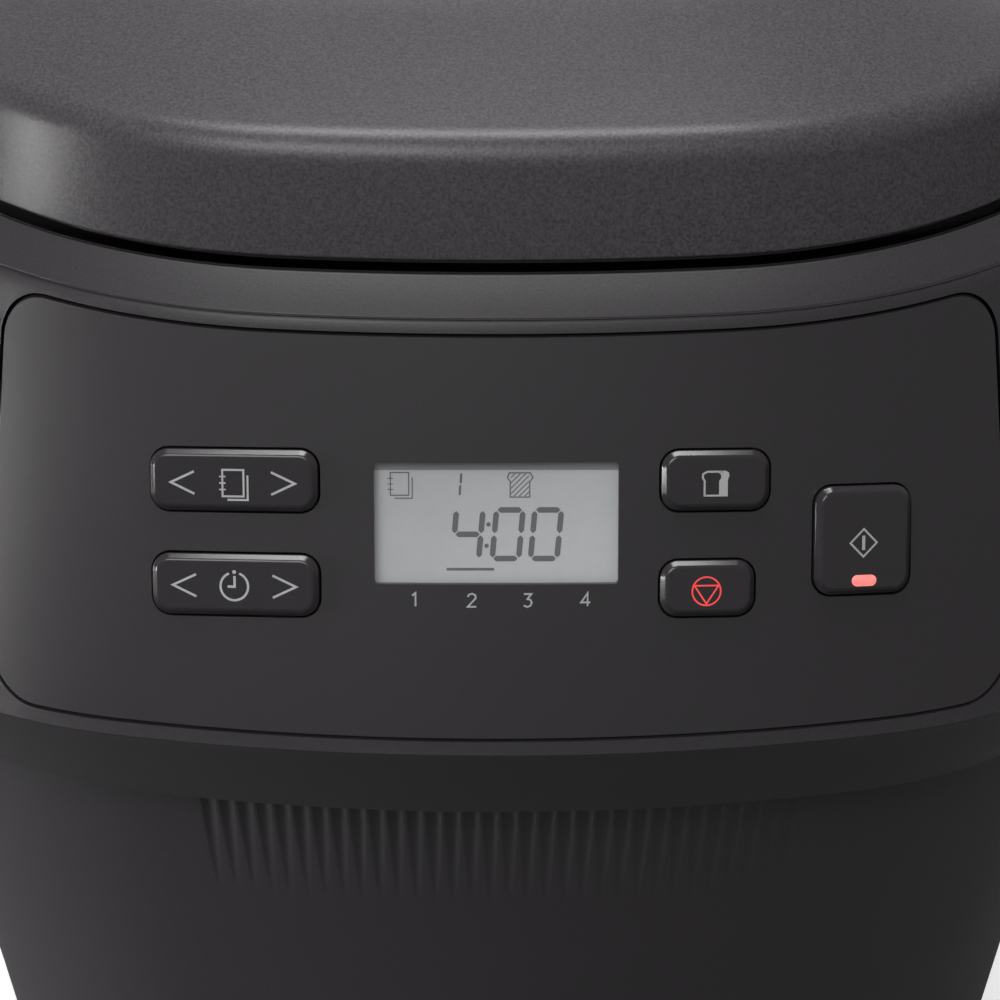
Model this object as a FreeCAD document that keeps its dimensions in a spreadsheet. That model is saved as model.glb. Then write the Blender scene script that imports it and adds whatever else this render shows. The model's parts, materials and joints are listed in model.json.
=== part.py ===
import FreeCAD, Part
import math
import os
import Sketcher
from FreeCAD import Placement, Rotation, Vector

# Bread machine, modelled as it would come apart on a bench. X is to the right, Y runs from
# the control panel to the hinge, Z is up, and the origin is on the floor under the middle.

doc = FreeCAD.newDocument("bread_machine")

# Driving dimensions, in millimetres. The name of each is its alias on the sheet.
DIMENSIONS = [
    # outline of the casing, from the lip under the panel to the rim under the lid
    ("lip_half", 159, "half width at the lip, the widest line"),
    ("lip_front", 185, "lip, from the middle to the front"),
    ("lip_back", 185, "lip, from the middle to the back"),
    ("lip_corner", 104, "front corner radius at the lip"),
    ("lip_level", 243, "height of the lip"),
    ("rim_half", 140, "half width at the rim"),
    ("rim_front", 152, "rim, from the middle to the front"),
    ("rim_back", 176, "rim, from the middle to the back"),
    ("rim_corner", 110, "front corner radius at the rim"),
    ("rim_level", 317, "height of the rim"),
    ("front_radius", 407, "bow of the front"),
    ("rear_corner", 66, "rear corner radius"),
    ("wall", 3, "thickness of the moulded walls"),
    ("band_inset", 10.8, "undercut below the lip"),
    ("band_drop", 23, "height of the undercut band"),
    ("soffit", 3, "thickness of the shelf under the band"),
    # lower casing
    ("body_inset", 8, "step from the band in to the lower casing"),
    ("body_foot_level", 11, "bottom edge of the lower casing"),
    ("body_taper", 0.11, "lean of the front and sides"),
    ("body_back_taper", 0.035, "lean of the back"),
    ("body_tuck", 10, "length of wall hidden inside the upper casing"),
    ("flute_pitch", 3.85, "spacing of the flutes on the front"),
    ("flute_count", 32, "number of flutes"),
    ("flute_depth", 0.85, "depth of a flute at the top"),
    ("flute_length", 36, "length of a flute below the band"),
    ("slot_width", 3, "ventilation slot"),
    ("slot_height", 26, "ventilation slot"),
    ("slot_pitch", 9, "spacing of the ventilation slots"),
    ("slot_count", 9, "ventilation slots in the back"),
    # shoulder and deck under the lid
    ("shoulder_inset", 8, "width of the sloping shoulder"),
    ("shoulder_rise", 5.6, "height of the sloping shoulder"),
    ("deck_level", 316, "top of the deck under the lid"),
    ("deck_thick", 3, "deck thickness"),
    ("skirt_drop", 9, "skirt of the deck inside the upper casing"),
    ("ledge_back", 158, "front of the hinge ledge"),
    # lid
    ("lid_inset", 9.2, "lid edge, in from the rim"),
    ("lid_level", 323.9, "lid edge"),
    ("lid_draft", 5, "lean of the lid wall"),
    ("lid_wall_top", 345.5, "where the lid wall turns into the crown"),
    ("lid_back", 156, "back of the lid edge"),
    ("crown_inset", 46, "slope of the crown"),
    ("crown_level", 356, "end of the slope"),
    ("crown_flat_inset", 76, "edge of the flat top"),
    ("lid_top", 360, "top of the lid"),
    ("lid_round", 8, "rounding of the lid edge"),
    ("lid_thick", 2.6, "lid cover thickness"),
    ("lid_base_thick", 4, "plate that closes the lid"),
    ("hinge_back", 165, "lid hinge axis"),
    ("hinge_level", 329.5, "lid hinge axis"),
    ("hinge_across", 84, "hinges, from the middle"),
    ("hinge_pin", 2.5, "pin radius"),
    ("hinge_knuckle", 5.3, "knuckle radius"),
    ("hinge_lug", 12, "lid lug width"),
    ("hinge_cheek", 8, "cheek width"),
    ("running_gap", 0.05, "radial clearance of turning pins and shafts"),
    # control panel
    ("panel_top", 314, "upper seam"),
    ("panel_bottom", 246, "lower seam"),
    ("panel_half_top", 93.4, "half width at the upper seam"),
    ("panel_half_bottom", 97.8, "half width at the lower seam"),
    ("panel_corner", 9, "corner radius of the panel"),
    ("panel_seam", 0.7, "width of the seam"),
    ("panel_thick", 2.6, "panel thickness"),
    ("panel_ledge", 3.4, "ledge behind the seam"),
    ("window_width", 45, "display opening"),
    ("window_height", 22.6, "display opening"),
    ("window_x", -0.7, "display, from the middle"),
    ("window_v", 3.2, "display, up the panel"),
    ("rocker_width", 31.4, "program and timer keys"),
    ("rocker_height", 11.5, "program and timer keys"),
    ("rocker_x", -49, "program and timer keys"),
    ("upper_key_v", 11, "upper row of keys"),
    ("timer_key_v", -8.5, "timer key"),
    ("size_key_width", 20.1, "loaf size key"),
    ("size_key_height", 11.2, "loaf size key"),
    ("size_key_x", 39.6, "loaf size key"),
    ("stop_key_width", 17.6, "stop key"),
    ("stop_key_height", 10.5, "stop key"),
    ("stop_key_x", 38.3, "stop key"),
    ("stop_key_v", -9.1, "stop key"),
    ("start_key_width", 18.8, "start key"),
    ("start_key_height", 20.4, "start key"),
    ("start_key_x", 67.5, "start key"),
    ("start_key_v", -0.7, "start key"),
    ("lamp_width", 4.8, "lamp in the start key"),
    ("lamp_height", 2.1, "lamp in the start key"),
    ("lamp_drop", 7.5, "lamp, below the middle of the start key"),
    ("key_proud", 1.1, "keys above the panel"),
    ("key_corner", 3.4, "corner radius of the keys"),
    ("key_round", 0.9, "rounding of the key tops"),
    ("key_gap", 0.3, "gap around the keys"),
    ("key_flange", 1.2, "flange that keeps a key in"),
    ("key_pivot", 1, "pivot radius of the rocking keys"),
    ("board_depth", 19, "control board behind the panel"),
    ("board_thick", 1.6, "circuit board thickness"),
    ("board_width", 146, "control board"),
    ("board_height", 56, "control board"),
    ("switch_side", 6, "switch under a key"),
    ("switch_height", 3.5, "switch under a key"),
    # oven
    ("oven_y", -18, "middle of the oven"),
    ("oven_width", 220, "inside of the oven"),
    ("oven_length", 180, "inside of the oven"),
    ("oven_corner", 45, "inside of the oven"),
    ("oven_floor", 92, "underside of the oven"),
    ("oven_sheet", 1, "oven sheet metal"),
    ("oven_flange", 5, "flange on the deck"),
    ("heater_rod", 3.25, "heating element radius"),
    ("heater_level", 128, "heating element"),
    ("heater_half", 99, "heating element"),
    ("heater_reach", 79, "heating element"),
    ("heater_bend", 40, "bends of the heating element"),
    ("heater_leads", 46, "heater leads, from the middle"),
    # bread pan
    ("pan_foot_width", 176, "pan at its foot"),
    ("pan_foot_length", 132, "pan at its foot"),
    ("pan_mouth_width", 188, "pan at its mouth"),
    ("pan_mouth_length", 144, "pan at its mouth"),
    ("pan_corner", 28, "pan corners"),
    ("pan_foot", 108, "underside of the pan"),
    ("pan_mouth", 252, "top of the pan"),
    ("pan_sheet", 2, "pan wall"),
    ("pan_rim", 6, "rolled rim of the pan"),
    ("handle_level", 243, "handle pivots"),
    ("handle_half", 105, "handle arms, from the middle"),
    ("handle_reach", 86, "handle bar, from the pivots"),
    ("handle_wire", 2.5, "handle wire radius"),
    ("handle_bend", 41, "handle bends"),
    ("seat_radius", 52, "ring that holds the pan"),
    ("seat_bore", 44, "ring that holds the pan"),
    ("seat_height", 13, "ring that holds the pan"),
    ("knead_shaft", 4, "kneading shaft radius"),
    ("knead_shaft_top", 143, "kneading shaft"),
    ("blade_hub", 9, "kneading blade hub radius"),
    ("blade_level", 117.6, "underside of the blade"),
    ("blade_height", 22, "kneading blade"),
    ("blade_reach", 58, "kneading blade"),
    # drive
    ("drive_shaft_radius", 5, "drive shaft"),
    ("drive_level", 40, "underside of the pulleys"),
    ("pulley_width", 12, "pulleys"),
    ("drive_pulley_radius", 52, "large pulley"),
    ("motor_pulley_radius", 13, "small pulley"),
    ("belt_thick", 1.8, "belt"),
    ("belt_width", 8, "belt"),
    ("chassis_level", 62, "underside of the chassis plate"),
    ("chassis_thick", 2, "chassis plate"),
    ("motor_y", 112, "motor"),
    ("motor_radius", 38, "motor"),
    ("motor_height", 72, "motor"),
    ("motor_shaft_radius", 4, "motor shaft"),
    # base
    ("base_level", 6, "underside of the base"),
    ("base_thick", 5, "base"),
    ("foot_radius", 10, "feet"),
    ("foot_x", 80, "feet, from the middle"),
    ("foot_front", -106, "front feet"),
    ("foot_rear", 128, "rear feet"),
    ("gland_x", 62, "cord gland"),
    ("gland_level", 46, "cord gland"),
    ("gland_radius", 8, "cord gland"),
    # screws
    ("screw_head", 1.8, "height of a screw head"),
    ("screw_head_radius", 3, "screw head"),
    ("screw_radius", 1.5, "screw shank"),
    ("screw_length", 9, "screw, with its head"),
]

sheet = doc.addObject("Spreadsheet::Sheet", "Sizes")
for row, (alias, value, note) in enumerate(DIMENSIONS, start=1):
    sheet.set("A%d" % row, alias)
    sheet.set("B%d" % row, str(value))
    sheet.set("C%d" % row, note)
    sheet.setAlias("B%d" % row, alias)
doc.recompute()


class Size:
    """A length known both as a number and as an expression on the sheet."""

    def __init__(self, text, value):
        self.text = text
        self.value = float(value)

    def __add__(self, other):
        return Size("(%s + %s)" % (self.text, words(other)), self.value + number(other))

    def __sub__(self, other):
        return Size("(%s - %s)" % (self.text, words(other)), self.value - number(other))

    def __rsub__(self, other):
        return Size("(%s - %s)" % (words(other), self.text), number(other) - self.value)

    def __mul__(self, other):
        return Size("(%s * %s)" % (self.text, words(other)), self.value * number(other))

    def __truediv__(self, other):
        return Size("(%s / %s)" % (self.text, words(other)), self.value / number(other))

    def __neg__(self):
        return Size("(0 - %s)" % self.text, -self.value)

    __radd__ = __add__
    __rmul__ = __mul__


def number(size):
    return size.value if isinstance(size, Size) else float(size)


def words(size):
    return size.text if isinstance(size, Size) else repr(float(size))


class SheetSizes:
    def __getattr__(self, alias):
        return Size("Sizes." + alias, sheet.get(alias))


S = SheetSizes()


def bind(obj, path, size):
    if isinstance(size, Size):
        obj.setExpression(path, size.text)


def put(obj, x=0, y=0, z=0, turn=None):
    obj.Placement = Placement(Vector(number(x), number(y), number(z)), turn or Rotation())
    for axis, size in zip("xyz", (x, y, z)):
        bind(obj, "Placement.Base." + axis, size)
    return obj


# Shorthand for primitives and booleans

ALONG_X = Rotation(Vector(0, 1, 0), 90)
ALONG_Y = Rotation(Vector(1, 0, 0), -90)


def box(name, length, width, height, x, y, z):
    """A block centred on x and y that stands on z."""
    obj = doc.addObject("Part::Box", name)
    for prop, size in (("Length", length), ("Width", width), ("Height", height)):
        setattr(obj, prop, number(size))
        bind(obj, prop, size)
    return put(obj, x - length / 2, y - width / 2, z)


def cylinder(name, radius, height, x, y, z, turn=None):
    obj = doc.addObject("Part::Cylinder", name)
    for prop, size in (("Radius", radius), ("Height", height)):
        setattr(obj, prop, number(size))
        bind(obj, prop, size)
    return put(obj, x, y, z, turn)


def fuse(name, *pieces):
    obj = doc.addObject("Part::MultiFuse", name)
    obj.Shapes = list(pieces)
    obj.Refine = True
    return obj


def cut(name, base, *tools):
    obj = doc.addObject("Part::Cut", name)
    obj.Base = base
    obj.Tool = tools[0] if len(tools) == 1 else fuse(name + "_tools", *tools)
    return obj


def common(name, first, second):
    obj = doc.addObject("Part::Common", name)
    obj.Base = first
    obj.Tool = second
    return obj


def group(name, pieces):
    """Alike pieces that share one node."""
    obj = doc.addObject("Part::Compound", name)
    obj.Links = list(pieces)
    return obj


def moved_copy(name, shape, placement):
    obj = doc.addObject("Part::Feature", name)
    obj.Shape = shape
    obj.Placement = placement
    return obj


def rounded(name, base, radius, wanted):
    """Round the edges of base that wanted(edge) picks."""
    doc.recompute()
    obj = doc.addObject("Part::Fillet", name)
    obj.Base = base
    picked = [i for i, edge in enumerate(base.Shape.Edges, start=1) if wanted(edge)]
    obj.Edges = [(i, number(radius), number(radius)) for i in picked]
    return obj


# Sketches


def name_constraint(sketch, index, label, size):
    sketch.renameConstraint(index, label)
    bind(sketch, "Constraints." + label, size)


def dimension(sketch, label, kind, size, *where):
    index = sketch.addConstraint(Sketcher.Constraint(kind, *where, number(size)))
    name_constraint(sketch, index, label, size)


def close_loop(sketch, edges):
    """Join the ends of the edges, in order, so that each runs smoothly into the next."""
    for first, second in zip(edges, edges[1:] + edges[:1]):
        sketch.addConstraint(Sketcher.Constraint("Tangent", first, 2, second, 1))


def arc(sketch, x, y, radius, start, end):
    circle = Part.Circle(Vector(x, y, 0), Vector(0, 0, 1), radius)
    return sketch.addGeometry(Part.ArcOfCircle(circle, start, end), False)


def line(sketch, x0, y0, x1, y1):
    return sketch.addGeometry(Part.LineSegment(Vector(x0, y0, 0), Vector(x1, y1, 0)), False)


def draw_rounded_rectangle(sketch, width, depth, radius):
    """A rounded rectangle centred on the sketch origin."""
    x, y, r = number(width) / 2, number(depth) / 2, number(radius)
    quarter = math.pi / 2
    edges = [
        line(sketch, r - x, -y, x - r, -y),
        arc(sketch, x - r, r - y, r, -quarter, 0),
        line(sketch, x, r - y, x, y - r),
        arc(sketch, x - r, y - r, r, 0, quarter),
        line(sketch, x - r, y, r - x, y),
        arc(sketch, r - x, y - r, r, quarter, 2 * quarter),
        line(sketch, -x, y - r, -x, r - y),
        arc(sketch, r - x, r - y, r, 2 * quarter, 3 * quarter),
    ]
    front, corner, right, _, back, _, left, _ = edges
    close_loop(sketch, edges)
    for flat in (front, back):
        sketch.addConstraint(Sketcher.Constraint("Horizontal", flat))
    for side in (left, right):
        sketch.addConstraint(Sketcher.Constraint("Vertical", side))
    for other in (edges[3], edges[5], edges[7]):
        sketch.addConstraint(Sketcher.Constraint("Equal", corner, other))
    sketch.addConstraint(Sketcher.Constraint("Symmetric", front, 1, back, 1, -1, 1))
    dimension(sketch, "corner", "Radius", radius, corner)
    dimension(sketch, "width", "DistanceX", width, left, 1, right, 1)
    dimension(sketch, "depth", "DistanceY", depth, front, 1, back, 1)


def draw_polygon(sketch, corners):
    """A closed polygon whose corners stand at (across, up) sizes."""
    spots = [Vector(number(x), number(y), 0) for x, y in corners]
    for start, end in zip(spots, spots[1:] + spots[:1]):
        sketch.addGeometry(Part.LineSegment(start, end), False)
    for i, (x, y) in enumerate(corners):
        sketch.addConstraint(Sketcher.Constraint("Coincident", i - 1 if i else len(corners) - 1, 2, i, 1))
        for kind, axis, size in (("DistanceX", -2, x), ("DistanceY", -1, y)):
            if number(size) == 0:
                sketch.addConstraint(Sketcher.Constraint("PointOnObject", i, 1, axis))
            else:
                dimension(sketch, "%s_%d" % (kind.lower(), i), kind, size, i, 1)


class Level:
    """The casing's outline at one height: bowed front, large front corners, flat back.

    The bow runs into the corner where its slope has the sine turn. The outline has a second
    joint where its slope has the sine joint, so that outlines with different corners still
    match edge by edge and a loft between them stays smooth.
    """

    def __init__(self, z, half, front, back, bow, corner, rear, joint):
        self.z, self.half, self.front, self.back = z, half, front, back
        self.bow, self.corner, self.rear, self.joint = bow, corner, rear, joint

    def turn(self):
        return (self.half - self.corner) / (self.bow - self.corner)

    def inset(self, by, z=None, back=None, rear=None):
        """The same outline, drawn in evenly."""
        return Level(
            self.z if z is None else z,
            self.half - by,
            self.front - by,
            self.back - by if back is None else back,
            self.bow - by,
            self.corner - by,
            self.rear - by if rear is None else rear,
            self.joint,
        )

    def depth_at(self, x):
        """How far the front has curved back at a distance x from the middle."""
        bow, corner, half = number(self.bow), number(self.corner), number(self.half)
        across = half - corner
        if abs(x) <= bow * number(self.turn()):
            return bow - math.sqrt(bow**2 - x**2)
        centre = bow - math.sqrt((bow - corner) ** 2 - across**2)
        return centre - math.sqrt(corner**2 - (abs(x) - across) ** 2)


def outline_sketch(name, level):
    sketch = doc.addObject("Sketcher::SketchObject", name)
    half, front, back = number(level.half), number(level.front), number(level.back)
    bow, corner, rear = number(level.bow), number(level.corner), number(level.rear)
    turn, joint = math.asin(number(level.turn())), math.asin(number(level.joint))
    bow_y = bow - front
    corner_x = half - corner
    corner_y = bow_y - (bow - corner) * math.cos(turn)
    quarter = math.pi / 2
    first, second = min(turn, joint), max(turn, joint)
    on_bow = joint < turn
    middle_x, middle_y, middle = (0, bow_y, bow) if on_bow else (corner_x, corner_y, corner)
    edges = [
        arc(sketch, 0, bow_y, bow, -quarter - first, -quarter + first),
        arc(sketch, middle_x, middle_y, middle, -quarter + first, -quarter + second),
        arc(sketch, corner_x, corner_y, corner, -quarter + second, 0),
        line(sketch, half, corner_y, half, back - rear),
        arc(sketch, half - rear, back - rear, rear, 0, quarter),
        line(sketch, half - rear, back, rear - half, back),
        arc(sketch, rear - half, back - rear, rear, quarter, 2 * quarter),
        line(sketch, -half, back - rear, -half, corner_y),
        arc(sketch, -corner_x, corner_y, corner, 2 * quarter, 3 * quarter - second),
        arc(sketch, -middle_x, middle_y, middle, 3 * quarter - second, 3 * quarter - first),
    ]
    face, right_joint, front_right, right, rear_right, tail, rear_left, left, front_left, left_joint = edges
    close_loop(sketch, edges)
    sketch.addConstraint(Sketcher.Constraint("Vertical", right))
    sketch.addConstraint(Sketcher.Constraint("Vertical", left))
    sketch.addConstraint(Sketcher.Constraint("Horizontal", tail))
    sketch.addConstraint(Sketcher.Constraint("Equal", front_right, front_left))
    sketch.addConstraint(Sketcher.Constraint("Equal", rear_right, rear_left))
    for piece in (right_joint, left_joint):
        sketch.addConstraint(Sketcher.Constraint("Equal", face if on_bow else front_right, piece))
    sketch.addConstraint(Sketcher.Constraint("PointOnObject", face, 3, -2))
    dimension(sketch, "bow", "Radius", level.bow, face)
    dimension(sketch, "corner", "Radius", level.corner, front_right)
    dimension(sketch, "rear", "Radius", level.rear, rear_right)
    dimension(sketch, "right", "DistanceX", level.half, -1, 1, right, 1)
    dimension(sketch, "left", "DistanceX", level.half, left, 1, -1, 1)
    dimension(sketch, "back", "DistanceY", level.back, -1, 1, tail, 1)
    dimension(sketch, "bow_centre", "DistanceY", level.bow - level.front, -1, 1, face, 3)
    if on_bow:
        spot = level.bow * level.joint
        dimension(sketch, "right_spot", "DistanceX", spot, -1, 1, face, 2)
        dimension(sketch, "left_spot", "DistanceX", spot, face, 1, -1, 1)
    else:
        spot = level.half - level.corner + level.corner * level.joint
        dimension(sketch, "right_spot", "DistanceX", spot, -1, 1, right_joint, 2)
        dimension(sketch, "left_spot", "DistanceX", spot, left_joint, 1, -1, 1)
    return put(sketch, 0, 0, level.z)


def loft(name, levels):
    """A solid with straight sides from one outline to the next."""
    obj = doc.addObject("Part::Loft", name)
    obj.Sections = [outline_sketch("%s_%d" % (name, i), level) for i, level in enumerate(levels)]
    obj.Solid = True
    obj.Ruled = True
    return obj


# Part Design bodies


def origin_plane(body, role):
    return [item for item in body.Origin.OriginFeatures if item.Role == role][0]


def body_sketch(body, name, role="XY_Plane", offset=0):
    sketch = body.newObject("Sketcher::SketchObject", name)
    sketch.AttachmentSupport = (origin_plane(body, role), [""])
    sketch.MapMode = "FlatFace"
    sketch.AttachmentOffset = Placement(Vector(0, 0, number(offset)), Rotation())
    bind(sketch, "AttachmentOffset.Base.z", offset)
    return sketch


def pad(body, sketch, length):
    feature = body.newObject("PartDesign::Pad", sketch.Name + "_pad")
    feature.Profile = sketch
    feature.Length = number(length)
    bind(feature, "Length", length)
    return feature


def pocket(body, sketch, length):
    """A pocket cut upwards from the sketch."""
    feature = body.newObject("PartDesign::Pocket", sketch.Name + "_pocket")
    feature.Profile = sketch
    feature.Length = number(length)
    feature.Reversed = True
    bind(feature, "Length", length)
    return feature


def on_level(z):
    """Picks the edges that lie flat at a height."""
    return lambda edge: max(abs(edge.BoundBox.ZMin - number(z)), abs(edge.BoundBox.ZMax - number(z))) < 0.01


def round_edges(body, radius, wanted):
    """Round the edges of a body that wanted(edge) picks."""
    doc.recompute()
    last = body.Tip
    edges = ["Edge%d" % i for i, edge in enumerate(last.Shape.Edges, start=1) if wanted(edge)]
    feature = body.newObject("PartDesign::Fillet", body.Name + "_round")
    feature.Base = (last, edges)
    feature.Radius = number(radius)
    bind(feature, "Radius", radius)
    body.Tip = feature


def rounded_plate(name, width, depth, height, radius, x=0, y=0, z=0, hole=None):
    """A flat plate with round corners, and with a round-cornered hole if one is given."""
    body = doc.addObject("PartDesign::Body", name)
    sketch = body_sketch(body, name + "_outline")
    draw_rounded_rectangle(sketch, width, depth, radius)
    pad(body, sketch, height)
    if hole:
        opening = body_sketch(body, name + "_opening")
        draw_rounded_rectangle(opening, *hole)
        pocket(body, opening, height)
    return put(body, x, y, z)


def turned(name, profile, x=0, y=0, z=0, turn=None):
    """A body turned about its own Z axis from a profile of (radius, height) corners."""
    body = doc.addObject("PartDesign::Body", name)
    sketch = body_sketch(body, name + "_profile", "XZ_Plane")
    draw_polygon(sketch, profile)
    feature = body.newObject("PartDesign::Revolution", name + "_turn")
    feature.Profile = sketch
    feature.ReferenceAxis = (sketch, ["V_Axis"])
    feature.Angle = 360
    return put(body, x, y, z, turn)


def tube(name, outer, inner, height, x=0, y=0, z=0, turn=None):
    return turned(name, [(inner, 0), (outer, 0), (outer, height), (inner, height)], x, y, z, turn)


def bent_rod(name, corners, radius, bends):
    """A round rod along straight runs with an arc at each inner corner."""
    edges = []
    last = corners[0]
    for before, corner, after, bend in zip(corners, corners[1:], corners[2:], bends):
        to_before = (before - corner).normalize()
        to_after = (after - corner).normalize()
        half_angle = to_before.getAngle(to_after) / 2
        run = bend / math.tan(half_angle)
        start = corner + to_before * run
        end = corner + to_after * run
        inward = (to_before + to_after).normalize()
        middle = corner + inward * (bend / math.sin(half_angle) - bend)
        edges.append(Part.LineSegment(last, start).toShape())
        edges.append(Part.Arc(start, middle, end).toShape())
        last = end
    edges.append(Part.LineSegment(last, corners[-1]).toShape())
    path = Part.Wire(edges)
    section = Part.Wire(Part.Circle(corners[0], corners[1] - corners[0], radius).toShape())
    return moved_copy(name, path.makePipeShell([section], True, False), Placement())


# Screws: one pan-head screw with a cross recess, set wherever two pieces are held together.
# The holes that take the screws are cut with the screws themselves.

screw_blank = turned(
    "screw_blank",
    [
        (0, 0),
        (S.screw_head_radius - 1, 0),
        (S.screw_head_radius, S.screw_head / 2),
        (S.screw_head_radius, S.screw_head),
        (S.screw_radius, S.screw_head),
        (S.screw_radius, S.screw_length),
        (0, S.screw_length),
    ],
)
recess = [box("recess_along", 3.4, 0.8, 1.1, 0, 0, 0), box("recess_across", 0.8, 3.4, 1.1, 0, 0, 0)]
screw = cut("screw", screw_blank, *recess)


def screws(name, spots, z, frame=None):
    """Screws that point up, with their heads against a face at height z."""
    doc.recompute()
    pieces = []
    for i, (x, y) in enumerate(spots):
        place = Placement(Vector(x, y, number(z) - number(S.screw_head)), Rotation())
        pieces.append(moved_copy("%s_%d" % (name, i), screw.Shape, place))
    obj = group(name, pieces)
    obj.Placement = frame or Placement()
    return obj


# Outlines of the casing

lip_turn = (S.lip_half - S.lip_corner) / (S.front_radius - S.lip_corner)
rim_turn = (S.rim_half - S.rim_corner) / (S.front_radius - S.rim_corner)
lip = Level(
    S.lip_level, S.lip_half, S.lip_front, S.lip_back, S.front_radius, S.lip_corner, S.rear_corner, rim_turn
)
rim = Level(
    S.rim_level, S.rim_half, S.rim_front, S.rim_back, S.front_radius, S.rim_corner, S.rear_corner, lip_turn
)
band = lip.inset(S.band_inset, S.lip_level - S.band_drop)
body_top = band.inset(S.body_inset, band.z + S.soffit)


def body_level(z):
    """The lower casing's outline at a height."""
    drop = body_top.z - z
    return body_top.inset(drop * S.body_taper, z, body_top.back - drop * S.body_back_taper)


body_foot = body_level(S.body_foot_level)

# Upper casing: a collar whose front leans back like a desk, with a sharp lip below it, an
# undercut band under the lip and a shelf that meets the lower casing.

collar = loft("collar_form", [band, lip, rim])
collar_hollow = loft(
    "collar_hollow",
    [band.inset(S.wall, band.z + S.soffit), lip.inset(S.wall), rim.inset(S.wall, rim.z + 1)],
)
shelf_hole = loft(
    "shelf_hole", [body_top.inset(-0.25, band.z - 1), body_top.inset(-0.4, band.z + S.soffit + 1)]
)


def panel_form(name, grow):
    """The panel's outline seen from the front, as a prism that reaches through the collar."""
    top, bottom = number(S.panel_top) + grow, number(S.panel_bottom) - grow
    upper, lower = number(S.panel_half_top) + grow, number(S.panel_half_bottom) + grow
    corners = [Vector(-lower, 0, bottom), Vector(lower, 0, bottom), Vector(upper, 0, top), Vector(-upper, 0, top)]
    radius = number(S.panel_corner) + grow
    edges = []
    for before, corner, after in zip(corners[-1:] + corners, corners, corners[1:] + corners[:1]):
        to_before = (before - corner).normalize()
        to_after = (after - corner).normalize()
        half_angle = to_before.getAngle(to_after) / 2
        run = radius / math.tan(half_angle)
        inward = (to_before + to_after).normalize()
        middle = corner + inward * (radius / math.sin(half_angle) - radius)
        edges.append(Part.Arc(corner + to_before * run, middle, corner + to_after * run).toShape())
    sides = []
    for first, second in zip(edges, edges[1:] + edges[:1]):
        sides.append(Part.LineSegment(first.lastVertex().Point, second.firstVertex().Point).toShape())
    loop = Part.Wire([edge for pair in zip(edges, sides) for edge in pair])
    prism = Part.Face(loop).extrude(Vector(0, number(S.lip_front), 0))
    return moved_copy(name, prism, Placement(Vector(0, -number(S.lip_front) - 5, 0), Rotation()))


panel_opening = panel_form("panel_opening", number(S.panel_seam))
ledge_outer = panel_form("ledge_outer", number(S.panel_ledge))
ledge_inner = panel_form("ledge_inner", -number(S.panel_ledge))
ledge_front = loft("ledge_front", [level.inset(S.wall - 0.1) for level in (lip, rim)])
ledge_back = loft("ledge_back", [level.inset(S.wall + 2.2) for level in (lip, rim)])
ledge = cut("ledge", common("ledge_slab", cut("ledge_skin", ledge_front, ledge_back), ledge_outer), ledge_inner)
collar_shell = cut("collar_shell", collar, collar_hollow, shelf_hole, panel_opening)
upper_casing = fuse("upper_casing", collar_shell, ledge)

# Lower casing: tapers to the feet. The front is fluted below the band, with flutes that run
# out downwards, and the back has cooling slots.

body_head = body_level(body_top.z + S.body_tuck)
body_form = loft("body_form", [body_foot, body_head])
body_hollow = loft(
    "body_hollow", [body_foot.inset(S.wall, body_foot.z - 1), body_head.inset(S.wall, body_head.z + 1)]
)


def flute_section(level, depth):
    """Scallops in a row along the bowed front, closed in front of it."""
    bow, front = number(level.bow), number(level.front)
    taper = number(level.half) / number(body_top.half)
    step = number(S.flute_pitch) * taper / bow
    first = -step * number(S.flute_count) / 2
    centre = Vector(0, bow - front, number(level.z))

    def spot(angle, inward):
        reach = bow - inward
        return centre + Vector(reach * math.sin(angle), -reach * math.cos(angle), 0)

    crest = depth - number(S.flute_depth)
    edges = []
    for i in range(int(number(S.flute_count))):
        start, end = first + i * step, first + (i + 1) * step
        edges.append(Part.Arc(spot(start, crest), spot((start + end) / 2, depth), spot(end, crest)).toShape())
    last = first + number(S.flute_count) * step
    corners = [spot(last, crest), spot(last, crest - 6), spot(first, crest - 6), spot(first, crest)]
    edges += [Part.LineSegment(a, b).toShape() for a, b in zip(corners, corners[1:])]
    return Part.Wire(edges)


flutes = doc.addObject("Part::Feature", "flutes")
flutes.Shape = Part.makeLoft(
    [
        flute_section(body_level(body_head.z + 2), number(S.flute_depth) * 1.3),
        flute_section(body_level(band.z - S.flute_length), -0.05),
    ],
    True,
    True,
)
slots = []
for i in range(int(number(S.slot_count))):
    across = (i - (S.slot_count - 1) / 2) * S.slot_pitch
    slots.append(box("back_slot_%d" % i, S.slot_width, 40, S.slot_height, across, S.lip_back - 25, 72))
gland_hole = cylinder("gland_hole", S.gland_radius + 0.05, 60, S.gland_x, 130, S.gland_level, ALONG_Y)
lower_casing = cut("lower_casing", body_form, body_hollow, flutes, gland_hole, *slots)

# Base: a shallow tray that closes the lower casing, with cooling slots under the motor.

POST_SPOTS = [(-60, -56), (60, -56), (-60, 136), (60, 136)]
base_screws = screws("base_screws", POST_SPOTS, S.base_level)
tray_edge = body_foot.inset(0.4, S.base_level + S.base_thick)
tray = loft("tray", [body_foot.inset(5, S.base_level), tray_edge])
vents = []
for i in range(7):
    vents.append(box("base_slot_%d" % i, S.slot_width, 44, 20, (i - 3) * S.slot_pitch, S.motor_y - 14, 0))
base_plate = cut("base_plate", tray, base_screws, *vents)
foot = turned(
    "foot_form",
    [(0, 0), (S.foot_radius - 1, 0), (S.foot_radius, 1), (S.foot_radius, S.base_level), (0, S.base_level)],
)

# Shoulder and deck: the ring that slopes up from the rim to the lid, with the deck inside it
# and a ledge at the back that carries the hinge cheeks.

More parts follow.
